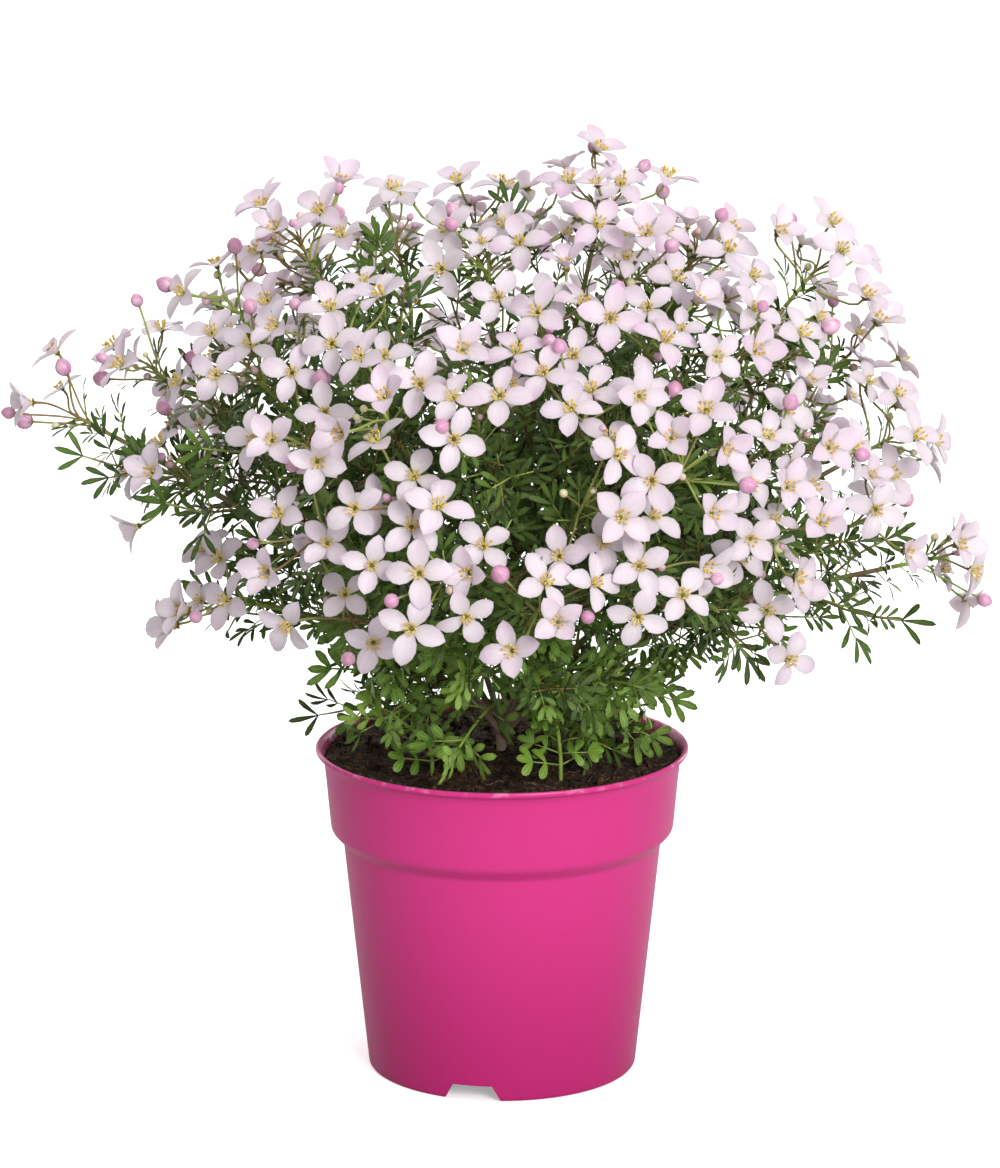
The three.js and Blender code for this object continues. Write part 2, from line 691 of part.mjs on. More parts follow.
function buildPlant() {
  let sprayCount = 0;
  const stems = STEMS.map((rows, number) => {
    const stem = routeStem(rows, number, sprayCount);
    sprayCount += rows.length;
    return stem;
  });
  const woody = makeWoodyBase(stems);
  addMesh("woody_base", woody, "bark");
  keep("woody_base", woody);
  const tubes = stems.map(makeStemTubes);
  const sprays = stems.flatMap((stem) => stem.sprays);
  const heads = sprays.flatMap(scatterHeads);
  settle(heads);
  for (const spray of sprays) makeSpray(spray, heads.filter((head) => head.spray === spray));
  LOW_SHOOTS.forEach(makeLowShoot);
  stems.forEach((stem, k) => {
    const node = numbered("leafy_stem", k);
    const draw = drawsFrom(500 + k);
    const leaves = leavesAlong(node, stem.main, draw, STEM_BARE);
    for (const twig of stem.twigs) leaves.push(...leavesAlong(node, twig, draw, TWIG_BARE));
    addMesh(node, fuse([...tubes[k], ...leaves]), "leaf");
  });
}

const pot = makePot();
const compost = makeCompost();
addMesh("pot", pot, "pot");
addMesh("compost", compost, "compost");
keep("pot", pot);
keep("compost", compost);
buildPlant();

const boronia = new THREE.Group();
boronia.name = "potted_boronia";
boronia.add(...meshes);

export default boronia;
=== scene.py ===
"""Looks of a potted boronia: a flowering shrub with fine divided leaves in a moulded plastic pot.

Metres, +Z up. The pot's axis is the Z axis, its foot stands on z = 0 and its front looks toward -Y.
"""

import logging
import math
from dataclasses import dataclass, field
from enum import Enum
from functools import cache
from typing import Any, Callable, ClassVar, Iterator, Sequence

import bpy
from mathutils import Matrix, Vector, noise

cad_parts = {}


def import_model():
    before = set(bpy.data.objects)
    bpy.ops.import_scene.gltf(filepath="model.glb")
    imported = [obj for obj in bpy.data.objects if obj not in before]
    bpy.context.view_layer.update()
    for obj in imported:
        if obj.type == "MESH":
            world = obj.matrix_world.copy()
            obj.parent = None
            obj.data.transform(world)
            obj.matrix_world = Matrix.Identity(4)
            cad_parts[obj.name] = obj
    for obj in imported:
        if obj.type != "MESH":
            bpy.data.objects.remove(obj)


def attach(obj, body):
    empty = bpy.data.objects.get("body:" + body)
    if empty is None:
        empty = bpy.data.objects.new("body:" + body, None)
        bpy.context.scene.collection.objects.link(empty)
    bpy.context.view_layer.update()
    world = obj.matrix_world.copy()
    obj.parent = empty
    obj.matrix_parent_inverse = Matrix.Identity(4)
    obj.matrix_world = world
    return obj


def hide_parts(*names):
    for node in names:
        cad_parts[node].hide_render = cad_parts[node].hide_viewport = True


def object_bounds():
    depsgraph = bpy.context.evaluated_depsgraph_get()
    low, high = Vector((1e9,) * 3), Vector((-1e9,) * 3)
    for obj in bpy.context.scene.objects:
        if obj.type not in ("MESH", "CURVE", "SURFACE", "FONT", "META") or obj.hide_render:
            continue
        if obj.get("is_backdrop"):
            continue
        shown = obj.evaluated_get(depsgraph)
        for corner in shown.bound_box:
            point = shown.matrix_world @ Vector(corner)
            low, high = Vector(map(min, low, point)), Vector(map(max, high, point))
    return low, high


LOG = logging.getLogger("boronia")
MM = 0.001
BODY = "root"
GOLDEN_ANGLE = math.pi * (3 - math.sqrt(5))
UP = Vector((0, 0, 1))

Piece = bpy.types.Object
Mesh = bpy.types.Mesh
Tree = bpy.types.NodeTree
Socket = bpy.types.NodeSocket
Colour = tuple[float, float, float, float]
Route = list[tuple[Vector, float]]


def paint(red: int, green: int, blue: int) -> Colour:
    """The shader colour of a paint chip.

    Args:
        red, green, blue: the chip's strengths, from 0 to 255.

    Returns:
        The linear colour with full alpha.
    """

    def linear(value: int) -> float:
        """One channel without its display curve."""
        share = value / 255
        return share / 12.92 if share <= 0.04045 else ((share + 0.055) / 1.055) ** 2.4

    return linear(red), linear(green), linear(blue), 1.0


# Layout: the same draws, curves and places that the solids follow.


class Draws:
    """Repeatable draws between 0 and 1, one row for each seed."""

    MODULUS = 2147483647

    def __init__(self, seed: int) -> None:
        """Starts the row and drops its first draw."""
        self.state = (seed * 7919 + 101) % self.MODULUS
        self()

    def __call__(self) -> float:
        """The next draw."""
        self.state = self.state * 16807 % self.MODULUS
        return self.state / self.MODULUS

    def between(self, low: float, high: float) -> float:
        """The next draw, spread between two values."""
        return low + (high - low) * self()

    def tilt(self) -> Vector:
        """The next three draws as a lean, up to half a unit each way."""
        return Vector((self() - 0.5, self() - 0.5, self() - 0.5))


def frame_along(origin: Vector, direction: Vector, spin: float = 0.0) -> Matrix:
    """A square frame whose Z axis is the given direction.

    Args:
        origin: the frame's place.
        direction: where its Z axis points.
        spin: its turn about that axis, in radians.

    Returns:
        The frame as a matrix.
    """
    z = direction.normalized()
    side = Vector((1, 0, 0)) if abs(z.z) > 0.9 else UP
    x = Matrix.Rotation(spin, 3, z) @ side.cross(z).normalized()
    return basis(origin, x, z.cross(x), z)


def side_way(along: Vector, turn: float) -> Vector:
    """The way that leaves a stem squarely, turned about the stem by an angle."""
    return frame_along(Vector(), along).to_3x3() @ Vector((math.cos(turn), math.sin(turn), 0))


def basis(origin: Vector, x: Vector, y: Vector, z: Vector) -> Matrix:
    """The matrix with the given axes and origin."""
    matrix = Matrix((x, y, z)).transposed().to_4x4()
    matrix.translation = origin
    return matrix


class Sweep:
    """A smooth curve from a start and its direction to an end and its direction."""

    LEAD = 0.35
    STEPS = 48

    def __init__(self, start: Vector, start_way: Vector, end: Vector, end_way: Vector) -> None:
        """Places the curve's handles and measures it.

        Args:
            start, end: its two ends.
            start_way, end_way: its directions there.
        """
        lead = self.LEAD * (end - start).length
        self.handles = (start, start + start_way * lead, end - end_way * lead, end)
        self.lengths = [0.0]
        last = start
        for step in range(1, self.STEPS + 1):
            here = self.point(step / self.STEPS)
            self.lengths.append(self.lengths[-1] + (here - last).length)
            last = here

    @property
    def length(self) -> float:
        """The curve's length."""
        return self.lengths[-1]

    def point(self, t: float) -> Vector:
        """The curve's point at a parameter between 0 and 1."""
        a, b, c, d = self.handles
        s = 1 - t
        return a * s**3 + b * (3 * s * s * t) + c * (3 * s * t * t) + d * t**3

    def way(self, t: float) -> Vector:
        """The curve's direction at a parameter."""
        a, b, c, d = self.handles
        s = 1 - t
        return ((b - a) * (s * s) + (c - b) * (2 * s * t) + (d - c) * (t * t)).normalized()

    def at_share(self, share: float) -> float:
        """The parameter at a share of the curve's length."""
        wanted = share * self.length
        step = 1
        while step < self.STEPS and self.lengths[step] < wanted:
            step += 1
        low, high = self.lengths[step - 1], self.lengths[step]
        return (step - 1 + (wanted - low) / (high - low)) / self.STEPS

    def route(self, steps: int, start_radius: float, end_radius: float) -> Route:
        """The curve's points, with the radius that a tube along it has there."""
        shares = [k / steps for k in range(steps + 1)]
        return [(self.point(s), start_radius + (end_radius - start_radius) * s) for s in shares]


@dataclass
class Head:
    """One bloom or bud of a spray."""

    is_bud: bool
    place: Vector
    tilt: Vector
    size: float
    spin: float
    order: int


@dataclass
class Spray:
    """A cluster of blooms and buds at the end of a stem or twig."""

    STALK_DEPTH = 28 * MM
    STALK_LENGTH = 17 * MM
    STALK_RADIUS = 0.95 * MM
    HEART = Vector((0, 0, 150 * MM))
    BUD_TURN = 1.1
    BUD_LIFT = 4 * MM
    UNEVEN = 10 * MM
    DOME = 12.0
    LEAST_SIZE = 0.92
    SIZE_RANGE = 0.16
    HEAD_STAGGER = 0.8
    HEAD_LEAN = 0.45
    HEAD_TILT = 1.0
    FRONT_LEAN = 0.4
    FRONT_Y = 30 * MM

    middle: Vector
    blooms: int
    buds: int
    spread: float
    number: int
    heads: list[Head] = field(default_factory=list)

    def __post_init__(self) -> None:
        """Finds the way that the spray looks, and its root."""
        self.out = (self.middle - self.HEART).normalized()
        self.root = self.middle - self.out * self.STALK_DEPTH
        self.draw = Draws(self.number + 1)

    def scatter(self) -> None:
        """Spreads the heads over the cluster, before they settle among each other."""
        across = frame_along(self.middle, self.out, math.tau * self.draw())
        for k in range(self.blooms + self.buds):
            is_bud = k >= self.blooms
            share = (k - self.blooms + 0.9) / (self.buds + 0.4) if is_bud else (k + 0.5) / self.blooms
            reach = self.spread * math.sqrt(share)
            turn = GOLDEN_ANGLE * k + (self.BUD_TURN if is_bud else 0.0)
            height = self.UNEVEN * (self.draw() - 0.5) - self.DOME * reach * reach + (self.BUD_LIFT if is_bud else 0.0)
            place = across @ Vector((reach * math.cos(turn), reach * math.sin(turn), height))
            tilt = self.draw.tilt()
            size = self.LEAST_SIZE + self.SIZE_RANGE * self.draw()
            self.heads.append(Head(is_bud, place, tilt, size, math.tau * self.draw(), k))

    def head_root(self, head: Head) -> Vector:
        """The point of the stalk that a head's own stalk grows from."""
        share = 1 - self.HEAD_STAGGER * head.order / (self.blooms + self.buds)
        return self.root + self.out * (self.STALK_LENGTH * share - self.STALK_RADIUS)

    def head_way(self, head: Head) -> Vector:
        """Which way a head looks."""
        lean = (head.place - self.middle) / self.spread
        front = Vector((0, -self.FRONT_LEAN, 0)) if head.place.y < self.FRONT_Y else Vector()
        return (self.out + lean * self.HEAD_LEAN + head.tilt * self.HEAD_TILT + front).normalized()


@dataclass
class Stem:
    """A limb's leafy stem: its main curve, its twigs and the sprays that they end in."""

    CROWN = Vector((0, 0, 121 * MM))
    CROWN_TOP = Vector((0, 0, 124 * MM))
    LIMB_LENGTH = 22 * MM
    LIMB_LIFT = 0.3
    SEAT_GAP = 0.3 * MM
    FIRST_FORK = 0.25
    FORK_RANGE = 0.36

    number: int
    sprays: list[Spray]

    def __post_init__(self) -> None:
        """Routes the stem and its twigs."""
        leader = self.sprays[0]
        way = (leader.root - self.CROWN_TOP).normalized()
        way.z += self.LIMB_LIFT
        self.way = way.normalized()
        self.limb_end = self.CROWN + self.way * self.LIMB_LENGTH
        start = self.limb_end + self.way * self.SEAT_GAP
        self.main = Sweep(start, self.way, self.seat(leader), leader.out)
        self.twigs = []
        for k, spray in enumerate(self.sprays[1:]):
            fork = self.FIRST_FORK + self.FORK_RANGE * k / (len(self.sprays) - 1)
            origin = self.main.point(fork)
            along = (self.main.way(fork) + (spray.root - origin).normalized()).normalized()
            self.twigs.append(Sweep(origin, along, self.seat(spray), spray.out))

    def seat(self, spray: Spray) -> Vector:
        """Where the stem or twig under a spray ends."""
        return spray.root - spray.out * self.SEAT_GAP


@dataclass
class Layout:
    """Where every stem, spray and head of the bush is."""

    SPACING = 17.5 * MM
    BUD_ROOM = 0.62
    ROUNDS = 8
    SHARE = 0.35
    GAP = Vector((8 * MM, 0, 233 * MM))
    GAP_RADIUS = 34 * MM
    GAP_SHARE = 0.5
    GAP_Y = -60 * MM

    # x, y, z of the middle, blooms, buds and spread, in millimetres; the first spray ends the stem
    ROWS = (
        ((-158, 0, 238, 2, 3, 18), (-131, 5, 256, 3, 3, 20), (-122, -15, 220, 5, 1, 23)),
        ((-104, -40, 178, 5, 1, 24), (-65, -105, 219, 5, 1, 24), (-57, -105, 186, 4, 1, 23)),
        (
            (-74, -5, 304, 5, 2, 22),
            (-103, 20, 279, 3, 2, 22),
            (-92, -40, 264, 5, 2, 23),
            (-70, -95, 246, 5, 2, 23),
            (-54, -75, 279, 5, 1, 23),
            (-40, 15, 303, 4, 1, 22),
        ),
        ((37, -5, 319, 6, 2, 20), (-5, -25, 302, 6, 3, 26), (46, -35, 298, 5, 1, 20)),
        (
            (15, -80, 285, 5, 1, 24),
            (53, -80, 280, 5, 1, 22),
            (-41, -110, 260, 4, 1, 22),
            (-9, -115, 262, 5, 1, 22),
            (28, -115, 258, 5, 1, 24),
        ),
        (
            (13, -140, 197, 5, 2, 23),
            (-20, -140, 210, 5, 1, 23),
            (-34, -125, 230, 5, 0, 24),
            (28, -122, 230, 3, 1, 20),
            (50, -125, 207, 6, 1, 24),
        ),
        ((114, 0, 291, 5, 1, 22), (72, 20, 296, 4, 3, 22), (90, -60, 279, 5, 2, 23), (129, 15, 258, 5, 1, 24)),
        ((145, 0, 230, 5, 0, 23), (101, -75, 246, 5, 2, 24), (63, -112, 240, 7, 2, 29)),
        ((162, 0, 184, 4, 2, 20), (135, -25, 204, 4, 1, 23), (97, -90, 214, 5, 0, 24), (92, -75, 187, 4, 0, 24)),
        ((-105, 75, 228, 5, 1, 30), (-70, 65, 279, 5, 1, 28), (-65, 112, 190, 5, 1, 29), (-10, 68, 298, 5, 1, 30)),
        ((105, 75, 232, 5, 1, 30), (62, 72, 280, 5, 1, 29), (72, 112, 192, 5, 1, 29), (0, 138, 236, 6, 2, 32)),
    )

    stems: list[Stem] = field(default_factory=list)

    def __post_init__(self) -> None:
        """Reads the rows, then scatters and settles the heads."""
        count = 0
        for number, rows in enumerate(self.ROWS):
            sprays = []
            for x, y, z, blooms, buds, spread in rows:
                middle = Vector((x, y, z)) * MM
                sprays.append(Spray(middle, blooms, buds, spread * MM, count))
                count += 1
            self.stems.append(Stem(number, sprays))
        for spray in self.sprays:
            spray.scatter()
        heads = [head for spray in self.sprays for head in spray.heads]
        self.settle(heads)
        self.part(heads)

    @property
    def sprays(self) -> list[Spray]:
        """All sprays in their order."""
        return [spray for stem in self.stems for spray in stem.sprays]

    def part(self, heads: Sequence[Head]) -> None:
        """Draws the heads a little aside where green shows at the middle of the front.

        Args:
            heads: all heads of the bush.
        """
        for head in heads:
            aside = Vector((head.place.x, 0, head.place.z)) - self.GAP
            if head.place.y < self.GAP_Y and aside.length < self.GAP_RADIUS:
                head.place = head.place + aside.normalized() * self.GAP_SHARE * (self.GAP_RADIUS - aside.length)

    def settle(self, heads: Sequence[Head]) -> None:
        """Pushes heads that crowd each other apart, a little in each round.

        Args:
            heads: all heads of the bush.
        """
        for _ in range(self.ROUNDS):
            for i, a in enumerate(heads):
                room = self.SPACING * (self.BUD_ROOM if a.is_bud else 1)
                for b in heads[i + 1 :]:
                    apart = b.place - a.place
                    short = room * (self.BUD_ROOM if b.is_bud else 1) - apart.length
                    if short > 0:
                        push = apart.normalized() * (self.SHARE * short)
                        a.place = a.place - push
                        b.place = b.place + push


# Workbench: Blender's modelling tools, each used on one piece at a time.


class Bench:
    """The modelling steps that every piece is made with."""

    @staticmethod
    def clear() -> None:
        """Lets go of everything that is selected."""
        bpy.ops.object.select_all(action="DESELECT")

    @staticmethod
    def hold(piece: Piece) -> None:
        """Selects one piece alone and makes it the active one."""
        Bench.clear()
        piece.select_set(True)
        bpy.context.view_layer.objects.active = piece

    @staticmethod
    def take(name: str) -> Piece:
        """Names the piece that was just added.

        Args:
            name: the piece's name.

        Returns:
            The piece.
        """
        piece = bpy.context.object
        piece.name = name
        piece.data.name = name
        return piece

    @staticmethod
    def edit(piece: Piece, *steps: Callable[[], Any]) -> None:
        """Runs edit-mode steps with the whole piece selected.

        Args:
            piece: the piece to work on.
            steps: the operators to run, in order.
        """
        Bench.hold(piece)
        bpy.ops.object.mode_set(mode="EDIT")
        bpy.ops.mesh.select_all(action="SELECT")
        for step in steps:
            step()
        bpy.ops.object.mode_set(mode="OBJECT")

    @staticmethod
    def apply(piece: Piece, kind: str, **settings: Any) -> None:
        """Adds a modifier and applies it at once.

        Args:
            piece: the piece to work on.
            kind: the modifier's type.
            settings: its settings.
        """
        Bench.hold(piece)
        modifier = piece.modifiers.new(kind.title(), kind)
        for key, value in settings.items():
            setattr(modifier, key, value)
        bpy.ops.object.modifier_apply(modifier=modifier.name)

    @staticmethod
    def settle_place(piece: Piece) -> None:
        """Puts the piece's place, turn and size into its mesh."""
        Bench.hold(piece)
        bpy.ops.object.transform_apply(location=True, rotation=True, scale=True)

    @staticmethod
    def smooth(piece: Piece, angle: float = 40.0) -> None:
        """Shades a piece smooth, apart from edges sharper than an angle in degrees."""
        Bench.hold(piece)
        bpy.ops.object.shade_smooth_by_angle(angle=math.radians(angle))

    @staticmethod
    def close(piece: Piece, threshold: float = 1e-6) -> None:
        """Merges doubled points and turns the faces outwards."""
        Bench.edit(
            piece,
            lambda: bpy.ops.mesh.remove_doubles(threshold=threshold),
            lambda: bpy.ops.mesh.normals_make_consistent(inside=False),
        )

    @staticmethod
    def dress(piece: Piece, *finishes: "Finish") -> None:
        """Gives a piece its material slots.

        Args:
            piece: the piece.
            finishes: one finish for each slot.
        """
        piece.data.materials.clear()
        for finish in finishes:
            piece.data.materials.append(finish.material())

    @staticmethod
    def keep_mesh(piece: Piece) -> Mesh:
        """Takes a pattern piece off the bench and keeps its mesh for copying.

        Args:
            piece: the finished pattern piece.

        Returns:
            Its mesh.
        """
        mesh = piece.data
        mesh.use_fake_user = True
        bpy.data.objects.remove(piece)
        return mesh

    @staticmethod
    def copy_of(mesh: Mesh, place: Matrix, tint: float = 0.0) -> Piece:
        """A copy of a pattern mesh, with its own mesh and the place in it.

        Args:
            mesh: the pattern.
            place: where the copy goes.
            tint: the copy's own shade, from 0 to 1, kept as an attribute.

        Returns:
            The copy.
        """
        own = mesh.copy()
        own.use_fake_user = False
        own.transform(place)
        Bench.tint(own, tint)
        piece = bpy.data.objects.new(mesh.name, own)
        bpy.context.scene.collection.objects.link(piece)
        return piece

    @staticmethod
    def tint(mesh: Mesh, value: float) -> None:
        """Writes one shade to all points of a mesh."""
        layer = mesh.attributes.get("tint") or mesh.attributes.new("tint", "FLOAT", "POINT")
        layer.data.foreach_set("value", [value] * len(mesh.vertices))

    @staticmethod
    def join(name: str, parts: Sequence[Piece]) -> Piece:
        """Joins parts into one piece.

        Args:
            name: the piece's name.
            parts: the parts; the first one's slots come first.

        Returns:
            The joined piece.
        """
        Bench.clear()
        for part in parts:
            part.select_set(True)
        bpy.context.view_layer.objects.active = parts[0]
        bpy.ops.object.join()
        return Bench.take(name)

    @staticmethod
    def tubes(name: str, routes: Sequence[Route], rounds: int) -> Piece:
        """Closed tubes along routes, as one piece.

        Args:
            name: the piece's name.
            routes: each tube's points and radii.
            rounds: how finely a tube is rounded: 0 gives 4 sides, 1 gives 6, 2 gives 8.

        Returns:
            The tubes.
        """
        Bench.clear()
        bpy.ops.curve.primitive_bezier_curve_add()
        piece = Bench.take(name)
        curve = piece.data
        curve.splines.clear()
        curve.dimensions = "3D"
        curve.bevel_depth = 1.0
        curve.bevel_resolution = rounds
        curve.use_fill_caps = True
        for route in routes:
            spline = curve.splines.new("POLY")
            spline.points.add(len(route) - 1)
            for point, (place, radius) in zip(spline.points, route):
                point.co = (*place, 1)
                point.radius = radius
            spline.use_smooth = True
        Bench.hold(piece)
        bpy.ops.object.convert(target="MESH")
        piece = bpy.context.object
        Bench.close(piece, 1e-7)
        Bench.tint(piece.data, 0.5)
        return piece

    @staticmethod
    def turned(name: str, profile: Sequence[tuple[float, float]], segments: int) -> Piece:
        """A closed shape turned about the Z axis, drawn out ring by ring.

        Args:
            name: the piece's name.
            profile: the radius and height of each ring.
            segments: how many sides each ring has.

        Returns:
            The turned piece.
        """
        Bench.clear()
        radius, height = profile[0]
        bpy.ops.mesh.primitive_circle_add(
            vertices=segments, radius=radius, fill_type="NOTHING", location=(0, 0, height)
        )
        piece = Bench.take(name)
        Bench.settle_place(piece)

        def draw_out() -> None:
            """Extrudes the last ring to each further one."""
            last_radius, last_height = profile[0]
            for next_radius, next_height in profile[1:]:
                bpy.ops.mesh.extrude_edges_move(
                    TRANSFORM_OT_translate={"value": (0, 0, next_height - last_height)}
                )
                share = next_radius / last_radius
                bpy.ops.transform.resize(value=(share, share, 1), center_override=(0, 0, 0))
                last_radius, last_height = next_radius, next_height
            bpy.ops.mesh.select_all(action="SELECT")
            bpy.ops.mesh.fill_holes(sides=0)
            bpy.ops.mesh.normals_make_consistent(inside=False)

        Bench.edit(piece, draw_out)
        return piece

    @staticmethod
    def ride(piece: Piece, slot: str, *nodes: str) -> None:
        """Hands a finished piece to the frame.

        Args:
            piece: the finished piece.
            slot: the material slot that its finish belongs to; not used.
            nodes: the nodes that it stands for.
        """
        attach(piece, BODY)
        if nodes:
            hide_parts(*nodes)
        LOG.info("%s: %d faces", piece.name, len(piece.data.polygons))


# Wiring: short calls that place and link a material's nodes.


class Wiring:
    """The nodes of one material or node group."""

    def __init__(self, tree: Tree) -> None:
        """Starts on a tree."""
        self.tree = tree

    def add(self, kind: str, **fields: Any) -> bpy.types.Node:
        """Places a node and sets its fields."""
        node = self.tree.nodes.new(kind)
        for key, value in fields.items():
            setattr(node, key, value)
        return node

    def feed(self, socket: Socket, source: Any) -> None:
        """Links a socket, or sets its value where the source is a plain one."""
        if isinstance(source, Socket):
            self.tree.links.new(source, socket)
        else:
            socket.default_value = source

    def math(self, operation: str, *values: Any) -> Socket:
        """The result of one operation on values or sockets."""
        node = self.add("ShaderNodeMath", operation=operation)
        for socket, value in zip(node.inputs, values):
            self.feed(socket, value)
        return node.outputs[0]

    def times(self, first: Any, second: Any) -> Socket:
        """The product of two values or sockets."""
        return self.math("MULTIPLY", first, second)

    def plus(self, first: Any, second: Any) -> Socket:
        """The sum of two values or sockets."""
        return self.math("ADD", first, second)

    def minus(self, first: Any, second: Any) -> Socket:
        """The first value or socket less the second."""
        return self.math("SUBTRACT", first, second)

    def mix(self, share: Any, first: Any, second: Any) -> Socket:
        """A colour between two colours."""
        node = self.add("ShaderNodeMix", data_type="RGBA")
        self.feed(node.inputs[0], share)
        self.feed(node.inputs[6], first)
        self.feed(node.inputs[7], second)
        return node.outputs[2]

    def between(self, value: Any, low: float, high: float, first: Any = 0.0, last: Any = 1.0) -> Any:
        """A value's smooth rise from first to last while it goes from low to high."""
        node = self.add("ShaderNodeMapRange", interpolation_type="SMOOTHSTEP")
        for socket, source in zip(node.inputs, (value, low, high, first, last)):
            self.feed(socket, source)
        return node.outputs[0]

    def noise(self, vector: Any, scale: Any, detail: float = 3.0) -> Socket:
        """Soft noise between 0 and 1."""
        node = self.add("ShaderNodeTexNoise")
        self.feed(node.inputs["Vector"], vector)
        self.feed(node.inputs["Scale"], scale)
        node.inputs["Detail"].default_value = detail
        return node.outputs[0]

    def cells(self, vector: Any, scale: Any, feature: str = "F1") -> Socket:
        """The distance to the middle or edge of scattered cells."""
        node = self.add("ShaderNodeTexVoronoi", feature=feature)
        self.feed(node.inputs["Vector"], vector)
        self.feed(node.inputs["Scale"], scale)
        return node.outputs["Distance"]

    def stretched(self, vector: Any, x: float, y: float, z: float) -> Socket:
        """A pattern's coordinates, stretched along each axis."""
        node = self.add("ShaderNodeMapping")
        self.feed(node.inputs["Vector"], vector)
        node.inputs["Scale"].default_value = (x, y, z)
        return node.outputs[0]

    def split(self, vector: Any) -> tuple[Any, Any, Any]:
        """The three parts of a vector."""
        node = self.add("ShaderNodeSeparateXYZ")
        self.feed(node.inputs[0], vector)
        return node.outputs[0], node.outputs[1], node.outputs[2]

    def group(self, tree: Tree, **values: Any) -> bpy.types.Node:
        """Places a shared effect with its own values."""
        node = self.add("ShaderNodeGroup", node_tree=tree)
        for name, value in values.items():
            self.feed(node.inputs[name.replace("_", " ").title()], value)
        return node

    def bump(self, height: Any, strength: float, distance: float) -> Socket:
        """The normal of a surface with small relief."""
        node = self.add("ShaderNodeBump")
        node.inputs["Strength"].default_value = strength
        node.inputs["Distance"].default_value = distance
        self.feed(node.inputs["Height"], height)
        return node.outputs[0]


def new_group(name: str, inputs: dict[str, str], outputs: dict[str, str]) -> tuple[Wiring, Any, Any]:
    """An empty node group with named sockets.

    Args:
        name: the group's name.
        inputs, outputs: each socket's name and kind.

    Returns:
        The group's wiring, its input node and its output node.
    """
    tree = bpy.data.node_groups.new(name, "ShaderNodeTree")
    for side, sockets in (("INPUT", inputs), ("OUTPUT", outputs)):
        for key, kind in sockets.items():
            tree.interface.new_socket(name=key, in_out=side, socket_type="NodeSocket" + kind)
    wiring = Wiring(tree)
    return wiring, wiring.add("NodeGroupInput"), wiring.add("NodeGroupOutput")


@cache
def mottle_effect() -> Tree:
    """Shared effect: two colours that run into each other in soft patches.

    Returns:
        The node group, with the mixed colour and its mask.
    """
    w, given, result = new_group(
        "mottle",
        {"Vector": "Vector", "Scale": "Float", "First": "Color", "Second": "Color"},
        {"Colour": "Color", "Mask": "Float"},
    )
    soft = w.noise(given.outputs["Vector"], given.outputs["Scale"], 4.0)
    mask = w.between(soft, 0.34, 0.66)
    w.feed(result.inputs["Mask"], mask)
    w.feed(result.inputs["Colour"], w.mix(mask, given.outputs["First"], given.outputs["Second"]))
    return w.tree


@cache
def grain_effect() -> Tree:
    """Shared effect: fine grain with sparse oil glands, as a height.

    Returns:
        The node group, with the height and the mask of the glands.
    """
    w, given, result = new_group(
        "grain",
        {"Vector": "Vector", "Scale": "Float", "Gland Size": "Float"},
        {"Height": "Float", "Glands": "Float"},
    )
    fine = w.noise(given.outputs["Vector"], given.outputs["Scale"], 3.0)
    cell = w.cells(given.outputs["Vector"], w.times(given.outputs["Scale"], 0.6))
    glands = w.math("LESS_THAN", cell, given.outputs["Gland Size"])
    w.feed(result.inputs["Glands"], glands)
    w.feed(result.inputs["Height"], w.plus(w.times(fine, 0.6), glands))
    return w.tree


@cache
def blade_effect() -> Tree:
    """Shared effect: the lines of a blade from its own UV map.

    Returns:
        The node group: the share along, the midrib's and the edge's masks, and the side veins.
    """
    w, given, result = new_group(
        "blade_lines",
        {"Rib Width": "Float", "Edge Width": "Float", "Vein Count": "Float"},
        {"Along": "Float", "Rib": "Float", "Edge": "Float", "Veins": "Float"},
    )
    uv = w.add("ShaderNodeUVMap", uv_map="blade").outputs[0]
    along, around, _ = w.split(uv)
    face = w.math("FRACT", w.times(around, 2.0))
    across = w.math("ABSOLUTE", w.minus(w.times(face, 2.0), 1.0))
    rib = w.math("LESS_THAN", across, given.outputs["Rib Width"])
    edge = w.math("GREATER_THAN", across, w.minus(1.0, given.outputs["Edge Width"]))
    slant = w.minus(w.times(across, given.outputs["Vein Count"]), along)
    wobble = w.noise(uv, 6.0, 1.0)
    wave = w.math("SINE", w.times(w.plus(slant, wobble), 6.3))
    w.feed(result.inputs["Along"], along)
    w.feed(result.inputs["Rib"], rib)
    w.feed(result.inputs["Edge"], edge)
    w.feed(result.inputs["Veins"], w.between(wave, 0.72, 1.0))
    return w.tree


# Finishes: the colours and the relief of each surface.


def mottle(w: Wiring, place: Any, scale: float, first: Colour, second: Colour) -> Any:
    """The outputs of soft patches of two colours: Colour and Mask."""
    return w.group(mottle_effect(), vector=place, scale=scale, first=first, second=second).outputs


def grain(w: Wiring, place: Any, scale: float, gland_size: float) -> Any:
    """The outputs of fine grain with oil glands: Height and Glands."""
    return w.group(grain_effect(), vector=place, scale=scale, gland_size=gland_size).outputs


def blade_lines(w: Wiring, rib_width: float, edge_width: float, vein_count: float) -> Any:
    """The outputs of a blade's lines: Along, Rib, Edge and Veins."""
    return w.group(blade_effect(), rib_width=rib_width, edge_width=edge_width, vein_count=vein_count).outputs


